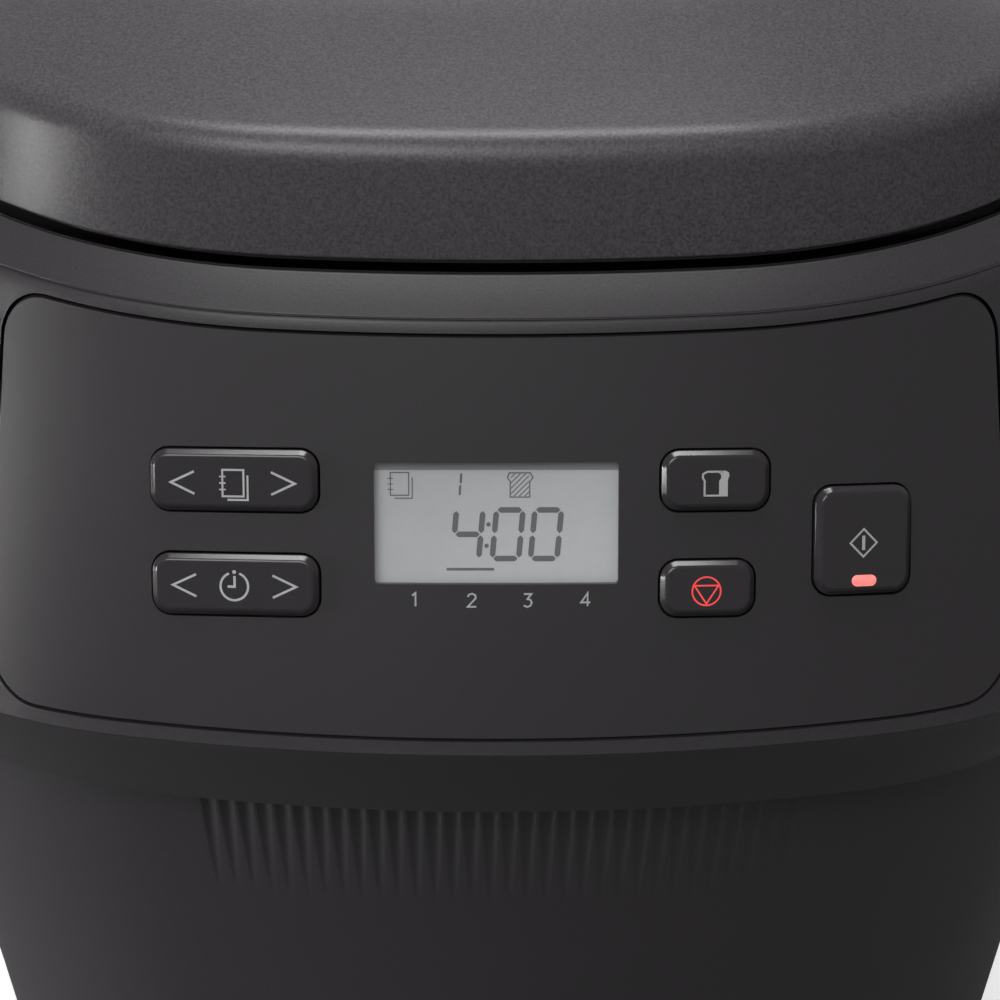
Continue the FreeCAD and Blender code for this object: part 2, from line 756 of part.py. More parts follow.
shoulder = loft("shoulder_form", [rim, rim.inset(S.shoulder_inset, rim.z + S.shoulder_rise)])
skirt = loft("skirt", [rim.inset(S.wall + 0.3, rim.z - S.skirt_drop), rim.inset(S.wall + 0.3, rim.z + 1)])
deck_well = loft(
    "deck_well",
    [
        rim.inset(S.shoulder_inset + 0.3, S.deck_level, S.ledge_back),
        rim.inset(S.shoulder_inset + 0.1, rim.z + S.shoulder_rise + 1, S.ledge_back),
    ],
)
deck_under = loft(
    "deck_under",
    [
        rim.inset(S.wall + 3, rim.z - S.skirt_drop - 1),
        rim.inset(S.wall + 3, S.deck_level - S.deck_thick),
    ],
)
oven_hole = rounded_plate(
    "oven_hole",
    S.oven_width + S.oven_sheet * 2 + 0.6,
    S.oven_length + S.oven_sheet * 2 + 0.6,
    40,
    S.oven_corner + S.oven_sheet + 0.3,
    0,
    S.oven_y,
    S.deck_level - 20,
)
ledge_room = common(
    "ledge_room",
    cut("ledge_room_skin", ledge_front, loft("ledge_room_back", [level.inset(S.wall + 2.8) for level in (lip, rim)])),
    panel_form("ledge_room_outline", number(S.panel_ledge) + 0.6),
)
deck_blank = fuse("deck_blank", shoulder, skirt)
deck_shell = cut("deck_shell", deck_blank, deck_well, deck_under, oven_hole, ledge_room)
hinge_offset = S.hinge_lug / 2 + S.hinge_cheek / 2 + 0.4
cheeks = []
pin_holes = []
pins = []
for side in (-1, 1):
    for inner in (-1, 1):
        x = S.hinge_across * side + hinge_offset * inner
        tag = "%s_%s" % ("left" if side < 0 else "right", "inner" if side * inner < 0 else "outer")
        rise = S.hinge_level - S.rim_level - 1
        cheeks.append(
            box("cheek_" + tag, S.hinge_cheek, S.hinge_knuckle * 2, rise, x, S.hinge_back, S.rim_level + 1)
        )
        start = x - S.hinge_cheek / 2
        cheeks.append(
            cylinder("eye_" + tag, S.hinge_knuckle, S.hinge_cheek, start, S.hinge_back, S.hinge_level, ALONG_X)
        )
    width = S.hinge_lug + S.hinge_cheek * 2 + 0.8
    start = S.hinge_across * side - width / 2
    name = "left" if side < 0 else "right"
    pins.append(cylinder("pin_" + name, S.hinge_pin, width, start, S.hinge_back, S.hinge_level, ALONG_X))
    pin_holes.append(
        cylinder("pin_hole_" + name, S.hinge_pin, width + 2, start - 1, S.hinge_back, S.hinge_level, ALONG_X)
    )
top_frame = cut("top_frame", fuse("deck_and_cheeks", deck_shell, *cheeks), *pin_holes)
hinge_pins = group("hinge_pins", pins)

# Lid: a crowned cover with a leaning wall, closed from below by a plate that carries the
# metal liner and the seal, and hinged on two lugs.

lid_edge = rim.inset(S.lid_inset, S.lid_level, S.lid_back)
lid_shoulder = lid_edge.inset(S.lid_draft, S.lid_wall_top)
lid_slope = lid_edge.inset(S.crown_inset, S.crown_level, rear=20)
lid_flat = lid_edge.inset(S.crown_flat_inset, S.lid_top, rear=12)
lid_form = loft("lid_form", [lid_edge, lid_shoulder, lid_slope, lid_flat])


lid_crown = rounded("lid_crown", lid_form, 90, on_level(S.crown_level))
lid_crown = rounded("lid_crown_top", lid_crown, 120, on_level(S.lid_top))
lid_rounded = rounded("lid_rounded", lid_crown, S.lid_round, on_level(S.lid_wall_top))
lid_hollow = loft(
    "lid_hollow",
    [
        lid_edge.inset(S.lid_thick, S.lid_level - 1),
        lid_shoulder.inset(S.lid_thick + 1, S.lid_wall_top - S.lid_thick - 2),
        lid_slope.inset(S.lid_thick, S.crown_level - S.lid_thick - 1, rear=17),
    ],
)
lugs = []
lug_holes = []
for side, name in ((-1, "left"), (1, "right")):
    start = S.hinge_across * side - S.hinge_lug / 2
    lugs.append(cylinder("lug_eye_" + name, S.hinge_knuckle, S.hinge_lug, start, S.hinge_back, S.hinge_level, ALONG_X))
    reach = S.hinge_back - S.lid_back + 2
    lugs.append(
        box(
            "lug_" + name,
            S.hinge_lug,
            reach,
            S.hinge_knuckle * 2,
            S.hinge_across * side,
            S.hinge_back - reach / 2,
            S.hinge_level - S.hinge_knuckle,
        )
    )
    lug_holes.append(
        cylinder(
            "lug_hole_" + name,
            S.hinge_pin + S.running_gap,
            S.hinge_lug + 2,
            start - 1,
            S.hinge_back,
            S.hinge_level,
            ALONG_X,
        )
    )
vent_y = 72
vent_width = 62
vent_length = 20
vent_hole = rounded_plate("vent_hole", vent_width, vent_length, 30, 6, 0, vent_y, S.lid_top - 15)
lid_shell = cut("lid_shell", lid_rounded, lid_hollow, vent_hole)
lid_plate_level = S.lid_level - 1.4
LID_SPOTS = [(-92, 100), (92, 100), (-60, 138), (60, 138)]
lid_screws = screws("lid_screws", LID_SPOTS, lid_plate_level)
boss_level = lid_plate_level + S.lid_base_thick
lid_posts = [cylinder("lid_post_%d" % i, 4, 40, x, y, boss_level) for i, (x, y) in enumerate(LID_SPOTS)]
lid_bosses = common("lid_bosses", fuse("lid_post_set", *lid_posts), lid_rounded)
lid_cover = cut("lid_cover", fuse("lid_and_lugs", lid_shell, lid_bosses, *lugs), lid_screws, *lug_holes)

lid_plate_form = loft(
    "lid_plate_form",
    [
        lid_edge.inset(S.lid_thick + 0.3, lid_plate_level),
        lid_edge.inset(S.lid_thick + 2, lid_plate_level + S.lid_base_thick),
    ],
)
liner_opening = rounded_plate(
    "liner_opening", S.oven_width - 24, S.oven_length - 24, 20, S.oven_corner, 0, S.oven_y, S.lid_level - 10
)
lid_base = cut("lid_base", lid_plate_form, liner_opening, lid_screws)
liner_thick = 1.2
liner = rounded_plate(
    "liner_plate",
    S.oven_width - 10,
    S.oven_length - 10,
    liner_thick,
    S.oven_corner - 5,
    0,
    S.oven_y,
    lid_plate_level - liner_thick,
)
steam_holes = []
for i in range(5):
    steam_holes.append(
        cylinder("steam_hole_%d" % i, 3, 20, (i - 2) * 14, S.oven_y + S.oven_length / 2 - 30, S.lid_level - 15)
    )
lid_liner = cut("lid_liner", liner, *steam_holes)
seal_drop = lid_plate_level - S.deck_level - S.oven_sheet - 0.2
lid_seal = rounded_plate(
    "lid_seal",
    S.oven_width + 11,
    S.oven_length + 11,
    seal_drop,
    S.oven_corner + 5.5,
    0,
    S.oven_y,
    lid_plate_level - seal_drop,
    hole=(S.oven_width + 1, S.oven_length + 1, S.oven_corner + 0.5),
)
vent_body = rounded_plate("vent_body", vent_width - 0.4, vent_length - 0.4, 6, 5.8, 0, vent_y, S.lid_top - 5.6)
louvres = []
for i in range(4):
    louvres.append(box("louvre_%d" % i, vent_width - 14, 2.2, 20, 0, vent_y + (i - 1.5) * 4.2, S.lid_top - 10))
steam_vent = cut("steam_vent", vent_body, *louvres)

# Control panel: a bowed plate let into the collar. Places on it are (across, up the slope,
# out of the plate), measured from the middle of the slope.

slope_run = number(S.lip_front) - number(S.rim_front)
slope_rise = number(S.rim_level) - number(S.lip_level)
lean = math.degrees(math.atan2(slope_run, slope_rise))
slope_middle = Vector(
    0, -(number(S.lip_front) + number(S.rim_front)) / 2, (number(S.rim_level) + number(S.lip_level)) / 2
)
panel_frame = Placement(slope_middle, Rotation(Vector(1, 0, 0), 90 - lean))
mid_level = Level(
    0, (S.lip_half + S.rim_half) / 2, 0, 0, S.front_radius, (S.lip_corner + S.rim_corner) / 2, 0, 0
)


def panel_spot(x, v, out=0):
    """The frame that lies on the panel's surface at (x, v), and stands out of it."""
    x, v = number(x), number(v)
    back = mid_level.depth_at(x) * math.cos(math.radians(lean))
    slope = (mid_level.depth_at(x + 1) - mid_level.depth_at(x - 1)) / 2 * math.cos(math.radians(lean))
    turn = Rotation(Vector(0, 1, 0), math.degrees(math.atan(slope)))
    return panel_frame * Placement(Vector(x, v, -back), turn) * Placement(Vector(0, 0, out), Rotation())


KEYS = [
    ("program_key", S.rocker_x, S.upper_key_v, S.rocker_width, S.rocker_height, True),
    ("timer_key", S.rocker_x, S.timer_key_v, S.rocker_width, S.rocker_height, True),
    ("size_key", S.size_key_x, S.upper_key_v, S.size_key_width, S.size_key_height, False),
    ("stop_key", S.stop_key_x, S.stop_key_v, S.stop_key_width, S.stop_key_height, False),
    ("start_key", S.start_key_x, S.start_key_v, S.start_key_width, S.start_key_height, False),
]
FLANGE_TOP = -4.3
FLANGE_THICK = 1.3
switch_top = -number(S.board_depth) + number(S.switch_height) + 1
stem_end = switch_top + 0.9

panel_front = common("panel_front", collar, panel_form("panel_outline", 0))
panel_rear = loft("panel_rear", [level.inset(S.panel_thick) for level in (lip, rim)])
key_holes = []
bosses = []
boss_holes = []
keys = []
switches = []
for name, x, v, width, height, rocks in KEYS:
    spot = panel_spot(x, v)
    hole = rounded_plate(
        name + "_hole", width + S.key_gap * 2, height + S.key_gap * 2, 20, S.key_corner + S.key_gap
    )
    hole.Placement = spot * Placement(Vector(0, 0, -6), Rotation())
    key_holes.append(hole)

    cap = doc.addObject("PartDesign::Body", name + "_cap")
    flange = body_sketch(cap, name + "_flange", "XY_Plane", FLANGE_TOP - FLANGE_THICK)
    draw_rounded_rectangle(flange, width + S.key_flange * 2, height + S.key_flange * 2, S.key_corner)
    pad(cap, flange, FLANGE_THICK)
    top = body_sketch(cap, name + "_top", "XY_Plane", FLANGE_TOP - FLANGE_THICK)
    draw_rounded_rectangle(top, width, height, S.key_corner)
    pad(cap, top, S.key_proud - FLANGE_TOP + FLANGE_THICK)
    round_edges(cap, S.key_round, on_level(S.key_proud))

    pieces = [cap]
    stems = (-number(width) * 0.36, number(width) * 0.36) if rocks else (0,)
    for i, across in enumerate(stems):
        along = spot * Placement(Vector(across, 0, 0), Rotation())
        depth = -panel_frame.inverse().multVec(along.Base).z
        length = -stem_end - depth + FLANGE_TOP - FLANGE_THICK + 0.5
        post = cylinder("%s_stem_%d" % (name, i), 1.5, length, across, 0, FLANGE_TOP - FLANGE_THICK + 0.5 - length)
        pieces.append(post)
        foot_point = panel_frame.inverse().multVec(along.multVec(Vector(0, 0, stem_end + depth)))
        switches.append((foot_point.x, foot_point.y))
    if rocks:
        span = height + S.key_flange * 2 + 5
        pivot_level = FLANGE_TOP - FLANGE_THICK / 2
        pieces.append(
            cylinder(name + "_pivot", S.key_pivot, span, 0, -span / 2, pivot_level, ALONG_Y)
        )
        for end, tag in ((-1, "low"), (1, "high")):
            y = number(height / 2 + S.key_flange + 1.9) * end
            boss = box("%s_boss_%s" % (name, tag), 4, 2.4, 4.8, 0, y, pivot_level - 1.9)
            boss.Placement = spot * boss.Placement
            bosses.append(boss)
            bore = cylinder(
                "%s_bore_%s" % (name, tag), S.key_pivot + S.running_gap, 6, 0, y - 3, pivot_level, ALONG_Y
            )
            bore.Placement = spot * bore.Placement
            boss_holes.append(bore)
    key = fuse(name, *pieces)
    key.Placement = spot
    keys.append(key)

window_spot = panel_spot(S.window_x, S.window_v)
window_hole = rounded_plate("window_hole", S.window_width, S.window_height, 20, 0.8)
window_hole.Placement = window_spot * Placement(Vector(0, 0, -6), Rotation())
panel_posts = []
board_corners = []
for side in (-1, 1):
    for end in (-1, 1):
        board_corners.append((side * (number(S.board_width) / 2 - 5), end * (number(S.board_height) / 2 - 5)))
for i, (x, v) in enumerate(board_corners):
    depth = mid_level.depth_at(x) * math.cos(math.radians(lean)) + number(S.panel_thick) - 0.8
    post = cylinder("panel_post_%d" % i, 2.8, S.board_depth - depth, 0, 0, 0)
    post.Placement = panel_frame * Placement(Vector(x, v, -number(S.board_depth)), Rotation())
    panel_posts.append(post)
panel_plate = cut("panel_plate", panel_front, panel_rear, window_hole, *key_holes)
board_place = panel_frame * Placement(Vector(0, 0, -number(S.board_depth + S.board_thick)), Rotation())
board_screws = screws("board_screws", board_corners, 0, board_place)
panel_blank = fuse("panel_and_bosses", panel_plate, *bosses, *panel_posts)
control_panel = cut("control_panel", panel_blank, board_screws, *boss_holes)

display_window = rounded_plate("display_window", S.window_width - 0.1, S.window_height - 0.1, 1.5, 0.7)
display_window.Placement = window_spot * Placement(Vector(0, 0, -2.3), Rotation())

# Display and control board, on posts behind the panel

display_glass = rounded_plate("display_glass", S.window_width + 6, S.window_height + 6, 4, 1.5, 0, 0, -7.3)
display_legs = []
for i, (side, end) in enumerate(((-1, -1), (-1, 1), (1, -1), (1, 1))):
    display_legs.append(
        box("display_leg_%d" % i, 2, 2, S.board_depth - 7, 22 * side, 11 * end, -S.board_depth)
    )
display_module = fuse("display_module", display_glass, *display_legs)
display_module.Placement = panel_frame * Placement(Vector(number(S.window_x), number(S.window_v), 0), Rotation())

board_blank = rounded_plate("board_blank", S.board_width, S.board_height, S.board_thick, 3)
board_holes = [cylinder("board_hole_%d" % i, S.screw_radius, 8, x, v, -3) for i, (x, v) in enumerate(board_corners)]
control_board = cut("control_board", board_blank, *board_holes)
control_board.Placement = board_place

switch_bodies = []
for i, (x, v) in enumerate(switches):
    housing = box("switch_%d" % i, S.switch_side, S.switch_side, S.switch_height, x, v, 0)
    plunger = cylinder("plunger_%d" % i, 1.6, 1.5, x, v, S.switch_height - 0.5)
    switch_bodies.append(fuse("key_switch_%d" % i, housing, plunger))
key_switches = group("key_switches", switch_bodies)
key_switches.Placement = panel_frame * Placement(Vector(0, 0, -number(S.board_depth)), Rotation())
doc.recompute()

# Lamp: a clear pill let into the start key

lamp_spot = panel_spot(S.start_key_x, S.start_key_v)
lamp_hole = rounded_plate("lamp_hole", S.lamp_width, S.lamp_height, 6, S.lamp_height / 2 - 0.01, 0, -S.lamp_drop, -2)
start_form = keys[-1]
start_form.Label = "start_key_blank"
start_form.Placement = Placement()
start_key = cut("start_key_cut", start_form, lamp_hole)
start_key.Label = "start_key"
start_key.Placement = lamp_spot
start_lamp = rounded_plate("start_lamp", S.lamp_width, S.lamp_height, S.key_proud + 2.2, S.lamp_height / 2 - 0.01)
start_lamp.Placement = lamp_spot * Placement(Vector(0, -number(S.lamp_drop), -2), Rotation())

# Oven: a folded sheet-metal box hung from the deck by its flange

oven_width = S.oven_width + S.oven_sheet * 2
oven_length = S.oven_length + S.oven_sheet * 2
oven_depth = S.deck_level - S.oven_floor
oven_box = doc.addObject("PartDesign::Body", "oven_box")
oven_outline = body_sketch(oven_box, "oven_outline")
draw_rounded_rectangle(oven_outline, oven_width, oven_length, S.oven_corner + S.oven_sheet)
pad(oven_box, oven_outline, oven_depth)
oven_lip = body_sketch(oven_box, "oven_lip", "XY_Plane", oven_depth)
flange_round = S.oven_corner + S.oven_sheet + S.oven_flange
draw_rounded_rectangle(oven_lip, oven_width + S.oven_flange * 2, oven_length + S.oven_flange * 2, flange_round)
pad(oven_box, oven_lip, S.oven_sheet)
oven_inside = body_sketch(oven_box, "oven_inside", "XY_Plane", S.oven_sheet)
draw_rounded_rectangle(oven_inside, S.oven_width, S.oven_length, S.oven_corner)
pocket(oven_box, oven_inside, oven_depth)
put(oven_box, 0, S.oven_y, S.oven_floor)
shaft_hole = cylinder("oven_shaft_hole", 15, 20, 0, S.oven_y, S.oven_floor - 10)
sensor_level = 190
sensor_hole = cylinder("sensor_hole", 4, 40, 0, S.oven_y - S.oven_length / 2 - 20, sensor_level, ALONG_Y)
lead_holes = []
for side, name in ((-1, "left"), (1, "right")):
    lead_holes.append(
        cylinder(
            "lead_hole_" + name,
            S.heater_rod,
            40,
            S.heater_leads * side,
            S.oven_y + S.oven_length / 2 - 10,
            S.heater_level,
            ALONG_Y,
        )
    )
oven_liner = cut("oven_liner", oven_box, shaft_hole, sensor_hole, *lead_holes)

heater_y = number(S.oven_y)
heater_z = number(S.heater_level)
lead_x = number(S.heater_leads)
loop_x, loop_y = number(S.heater_half), number(S.heater_reach)
lead_end = number(S.oven_y + S.oven_length / 2) + 14
heating_element = bent_rod(
    "heating_element",
    [
        Vector(lead_x, lead_end, heater_z),
        Vector(lead_x, heater_y + loop_y, heater_z),
        Vector(loop_x, heater_y + loop_y, heater_z),
        Vector(loop_x, heater_y - loop_y, heater_z),
        Vector(-loop_x, heater_y - loop_y, heater_z),
        Vector(-loop_x, heater_y + loop_y, heater_z),
        Vector(-lead_x, heater_y + loop_y, heater_z),
        Vector(-lead_x, lead_end, heater_z),
    ],
    number(S.heater_rod),
    [9] + [number(S.heater_bend)] * 4 + [9],
)
clips = []
clip_reach = S.oven_width / 2 - S.heater_half + S.heater_rod + 1.5
for side in (-1, 1):
    for end in (-1, 1):
        x = (S.oven_width / 2 - clip_reach / 2) * side
        tag = "%d" % len(clips)
        bracket = box("clip_block_" + tag, clip_reach, 6, 12, x, S.oven_y + 34 * end, S.heater_level - 6)
        seat = cylinder("clip_seat_" + tag, S.heater_rod, 20, S.heater_half * side, S.oven_y + 34 * end - 10, S.heater_level, ALONG_Y)
        clips.append(cut("heater_clip_" + tag, bracket, seat))
heater_clips = group("heater_clips", clips)
sensor_face = S.oven_y - S.oven_length / 2
temperature_sensor = turned(
    "temperature_sensor",
    [(0, 0), (8, 0), (8, 4), (4, 4), (4, 16), (2.5, 20), (0, 20)],
    0,
    sensor_face - S.oven_sheet - 4,
    sensor_level,
    ALONG_Y,
)

# Seat in the oven floor and the bread pan that locks into it

pan_seat = tube("pan_seat", S.seat_radius, S.seat_bore, S.seat_height, 0, S.oven_y, S.oven_floor + S.oven_sheet)


def pan_section(name, width, length, corner, z):
    sketch = doc.addObject("Sketcher::SketchObject", name)
    draw_rounded_rectangle(sketch, width, length, corner)
    return put(sketch, 0, S.oven_y, z)


def pan_loft(name, sections):
    obj = doc.addObject("Part::Loft", name)
    obj.Sections = sections
    obj.Solid = True
    obj.Ruled = True
    return obj


pan_outside = pan_loft(
    "pan_outside",
    [
        pan_section("pan_foot_edge", S.pan_foot_width - 10, S.pan_foot_length - 10, S.pan_corner - 5, S.pan_foot),
        pan_section("pan_foot_side", S.pan_foot_width, S.pan_foot_length, S.pan_corner, S.pan_foot + 5),
        pan_section("pan_mouth_side", S.pan_mouth_width, S.pan_mouth_length, S.pan_corner + 4, S.pan_mouth),
    ],
)
pan_inside = pan_loft(
    "pan_inside",
    [
        pan_section("pan_well_edge", S.pan_foot_width - 14, S.pan_foot_length - 14, S.pan_corner - 7, S.pan_foot + 3),
        pan_section(
            "pan_well_side",
            S.pan_foot_width - S.pan_sheet * 2,
            S.pan_foot_length - S.pan_sheet * 2,
            S.pan_corner - 2,
            S.pan_foot + 8,
        ),
        pan_section(
            "pan_well_mouth",
            S.pan_mouth_width - S.pan_sheet * 2,
            S.pan_mouth_length - S.pan_sheet * 2,
            S.pan_corner + 2,
            S.pan_mouth + 1,
        ),
    ],
)
pan_rim = rounded_plate(
    "pan_rim",
    S.pan_mouth_width + S.pan_rim * 2,
    S.pan_mouth_length + S.pan_rim * 2,
    2,
    S.pan_corner + 4 + S.pan_rim,
    0,
    S.oven_y,
    S.pan_mouth - 2,
)
bush_radius = 9
bush_hole = cylinder("bush_hole", bush_radius, 30, 0, S.oven_y, S.pan_foot - 10)
bread_pan = cut("bread_pan", fuse("pan_blank", pan_outside, pan_rim), pan_inside, bush_hole)
pan_base_level = S.oven_floor + S.oven_sheet + 3
pan_base = tube("pan_base", S.seat_bore - 0.6, S.seat_bore - 7, S.pan_foot - pan_base_level, 0, S.oven_y, pan_base_level)
shaft_bore = S.knead_shaft + S.running_gap
shaft_bush = tube("shaft_bush", bush_radius, shaft_bore, 11, 0, S.oven_y, S.pan_foot - 5)
shaft_seal = tube("shaft_seal", 8, shaft_bore, 2.4, 0, S.oven_y, S.pan_foot + 6)

pan_lean = (S.pan_mouth_width - S.pan_foot_width) / 2
pan_side = number(S.pan_foot_width / 2) + number(pan_lean) * (
    number(S.handle_level - S.pan_foot) - 5
) / (number(S.pan_mouth - S.pan_foot) - 5)
stud_length = number(S.handle_half) + 4.5 - pan_side + 0.6
studs = []
for side, name in ((-1, "left"), (1, "right")):
    stud = turned(
        "stud_" + name,
        [
            (0, 0),
            (6, 0),
            (6, 2.5),
            (S.handle_wire, 4),
            (S.handle_wire, stud_length - 1.5),
            (4, stud_length - 1.5),
            (4, stud_length),
            (0, stud_length),
        ],
        (pan_side - 0.6) * side,
        S.oven_y,
        S.handle_level,
        Rotation(Vector(0, 1, 0), 90 * side),
    )
    studs.append(cut("handle_stud_" + name, stud, pan_outside))
handle_studs = group("handle_studs", studs)

handle_y = number(S.oven_y)
handle_z = number(S.handle_level)
arm_x, bar_y = number(S.handle_half), handle_y + number(S.handle_reach)
bail = bent_rod(
    "bail",
    [
        Vector(-arm_x, handle_y, handle_z),
        Vector(-arm_x, bar_y, handle_z),
        Vector(arm_x, bar_y, handle_z),
        Vector(arm_x, handle_y, handle_z),
    ],
    number(S.handle_wire),
    [number(S.handle_bend)] * 2,
)
eye_width = S.handle_wire * 2 - 0.8
eyes = []
eye_holes = []
for side, name in ((-1, "left"), (1, "right")):
    start = S.handle_half * side - eye_width / 2
    eyes.append(cylinder("handle_eye_" + name, 5.5, eye_width, start, S.oven_y, S.handle_level, ALONG_X))
    eye_holes.append(
        cylinder(
            "handle_bore_" + name,
            S.handle_wire + S.running_gap,
            eye_width + 2,
            start - 1,
            S.oven_y,
            S.handle_level,
            ALONG_X,
        )
    )
pan_handle = cut("pan_handle", fuse("handle_blank", bail, *eyes), *eye_holes)

# Kneading shaft, its wing below the pan and the blade on top

wing_level = S.oven_floor + S.oven_sheet + 6
kneading_shaft = turned(
    "kneading_shaft",
    [
        (0, wing_level),
        (S.knead_shaft, wing_level),
        (S.knead_shaft, S.knead_shaft_top - 1),
        (S.knead_shaft - 1, S.knead_shaft_top),
        (0, S.knead_shaft_top),
    ],
    0,
    S.oven_y,
    0,
)
wing_bar = rounded_plate("wing_bar", 7, 26, 3.6, 2, 0, S.oven_y, wing_level)
wing_hub = cylinder("wing_hub", 6.5, 3.6, 0, S.oven_y, wing_level)
wing_hole = cylinder("wing_hole", S.knead_shaft, 20, 0, S.oven_y, wing_level - 5)
pan_coupling = cut("pan_coupling", fuse("wing", wing_bar, wing_hub), wing_hole)

hub = cylinder("blade_hub", S.blade_hub, S.blade_height, 0, S.oven_y, S.blade_level)
paddle = doc.addObject("PartDesign::Body", "paddle")
paddle_root = body_sketch(paddle, "paddle_root")
draw_polygon(
    paddle_root,
    [
        (2, -4.5),
        (S.blade_reach * 0.55, -3.2),
        (S.blade_reach, 4.5),
        (S.blade_reach, 7.5),
        (S.blade_reach * 0.5, 3.6),
        (2, 4.5),
    ],
)
pad(paddle, paddle_root, S.blade_height - 3)
round_edges(paddle, 1.2, on_level(S.blade_height - 3))
put(paddle, 0, S.oven_y, S.blade_level)
blade_bore = cylinder("blade_bore", S.knead_shaft, 60, 0, S.oven_y, S.blade_level - 10)
kneading_blade = cut("kneading_blade", fuse("blade_blank", hub, paddle), blade_bore)

# Drive below the oven: chassis, bearing, shaft, belt and motor

chassis_top = S.chassis_level + S.chassis_thick
chassis_plate = rounded_plate("chassis_plate", 150, 220, S.chassis_thick, 18, 0, 40, S.chassis_level)
post_height = S.chassis_level - S.base_level - S.base_thick
posts = []
for i, (x, y) in enumerate(POST_SPOTS):
    posts.append(cylinder("chassis_post_%d" % i, 7, post_height, x, y, S.base_level + S.base_thick))
bearing_hole = cylinder("bearing_hole", 12, 20, 0, S.oven_y, S.chassis_level - 10)
motor_hole = cylinder("motor_hole", 14, 20, 0, S.motor_y, S.chassis_level - 10)
chassis = cut("chassis", fuse("chassis_blank", chassis_plate, *posts), base_screws, bearing_hole, motor_hole)
bearing_top = S.oven_floor - chassis_top
drive_bearing = turned(
    "drive_bearing",
    [
        (S.drive_shaft_radius + S.running_gap, -6),
        (12, -6),
        (12, 0),
        (20, 0),
        (20, 3),
        (14, 5),
        (14, bearing_top),
        (S.drive_shaft_radius + S.running_gap, bearing_top),
    ],
    0,
    S.oven_y,
    chassis_top,
)
coupling_level = S.oven_floor + S.oven_sheet + 1
drive_shaft = cylinder(
    "drive_shaft", S.drive_shaft_radius, coupling_level + 3.5 - S.drive_level + 4, 0, S.oven_y, S.drive_level - 4
)
coupling_disc = tube("coupling_disc", 16, S.drive_shaft_radius, 3.5, 0, S.oven_y, coupling_level)
dogs = []
for i, side in enumerate((-1, 1)):
    dogs.append(box("dog_%d" % i, 6, 6, 6, 6.8 * side, S.oven_y + 9 * side, coupling_level + 3))
drive_coupling = fuse("drive_coupling", coupling_disc, *dogs)

groove = S.belt_thick
pulley_rim = S.drive_pulley_radius


def pulley_profile(radius, web_from, web_to, hub_radius, bore):
    """Half section of a flanged belt pulley: bore, hub, web and rim."""
    flange = 1.6
    return [
        (bore, 0),
        (hub_radius, 0),
        (hub_radius, web_from),
        (radius - 8, web_from),
        (radius - 8, 0),
        (radius + groove, 0),
        (radius + groove, flange),
        (radius, flange + 0.3),
        (radius, S.pulley_width - flange - 0.3),
        (radius + groove, S.pulley_width - flange),
        (radius + groove, S.pulley_width),
        (radius - 8, S.pulley_width),
        (radius - 8, web_to),
        (hub_radius, web_to),
        (hub_radius, S.pulley_width),
        (bore, S.pulley_width),
    ]


pulley_wheel = turned(
    "pulley_wheel", pulley_profile(pulley_rim, 4, 8, 13, S.drive_shaft_radius), 0, S.oven_y, S.drive_level
)
lightening = []
for i in range(6):
    angle = math.radians(60 * i)
    x, y = 28 * math.cos(angle), 28 * math.sin(angle)
    lightening.append(cylinder("lightening_%d" % i, 9, 30, x, S.oven_y + y, S.drive_level - 5))
drive_pulley = cut("drive_pulley", pulley_wheel, *lightening)
small = S.motor_pulley_radius
motor_pulley = turned(
    "motor_pulley",
    [
        (S.motor_shaft_radius, 0),
        (small + groove, 0),
        (small + groove, 1.6),
        (small, 1.9),
        (small, S.pulley_width - 1.9),
        (small + groove, S.pulley_width - 1.6),
        (small + groove, S.pulley_width),
        (S.motor_shaft_radius, S.pulley_width),
    ],
    0,
    S.motor_y,
    S.drive_level,
)


def belt_loop(clear):
    """Outline of a belt round both pulleys, at a distance outside their running faces."""
    big, little = number(S.drive_pulley_radius) + clear, number(S.motor_pulley_radius) + clear
    near, far = number(S.oven_y), number(S.motor_y)
    tilt = math.asin((big - little) / (far - near))
    spots = []
    for radius, centre in ((big, near), (little, far)):
        x, y = radius * math.cos(tilt), centre + radius * math.sin(tilt)
        spots.append((Vector(x, y, 0), Vector(-x, y, 0)))
    (big_right, big_left), (little_right, little_left) = spots
    edges = [
        Part.Arc(big_left, Vector(0, near - big, 0), big_right).toShape(),
        Part.LineSegment(big_right, little_right).toShape(),
        Part.Arc(little_right, Vector(0, far + little, 0), little_left).toShape(),
        Part.LineSegment(little_left, big_left).toShape(),
    ]
    return Part.Face(Part.Wire(edges)).extrude(Vector(0, 0, number(S.belt_width)))


drive_belt = moved_copy(
    "drive_belt",
    belt_loop(0.1 + number(S.belt_thick)).cut(belt_loop(0.1)),
    Placement(Vector(0, 0, number(S.drive_level + (S.pulley_width - S.belt_width) / 2)), Rotation()),
)
motor = turned(
    "motor",
    [
        (S.motor_shaft_radius + 0.3, 0),
        (20, 0),
        (24, 6),
        (S.motor_radius - 4, 8),
        (S.motor_radius, 12),
        (S.motor_radius, S.motor_height - 12),
        (S.motor_radius - 4, S.motor_height - 8),
        (24, S.motor_height - 6),
        (20, S.motor_height),
        (S.motor_shaft_radius + 0.3, S.motor_height),
    ],
    0,
    S.motor_y,
    chassis_top,
)
fan_level = chassis_top + S.motor_height + 3
motor_shaft = cylinder(
    "motor_shaft", S.motor_shaft_radius, fan_level + 10 - S.drive_level + 2, 0, S.motor_y, S.drive_level - 2
)
fan_hub = tube("fan_hub", 9, S.motor_shaft_radius, 9, 0, S.motor_y, fan_level)
vanes = []
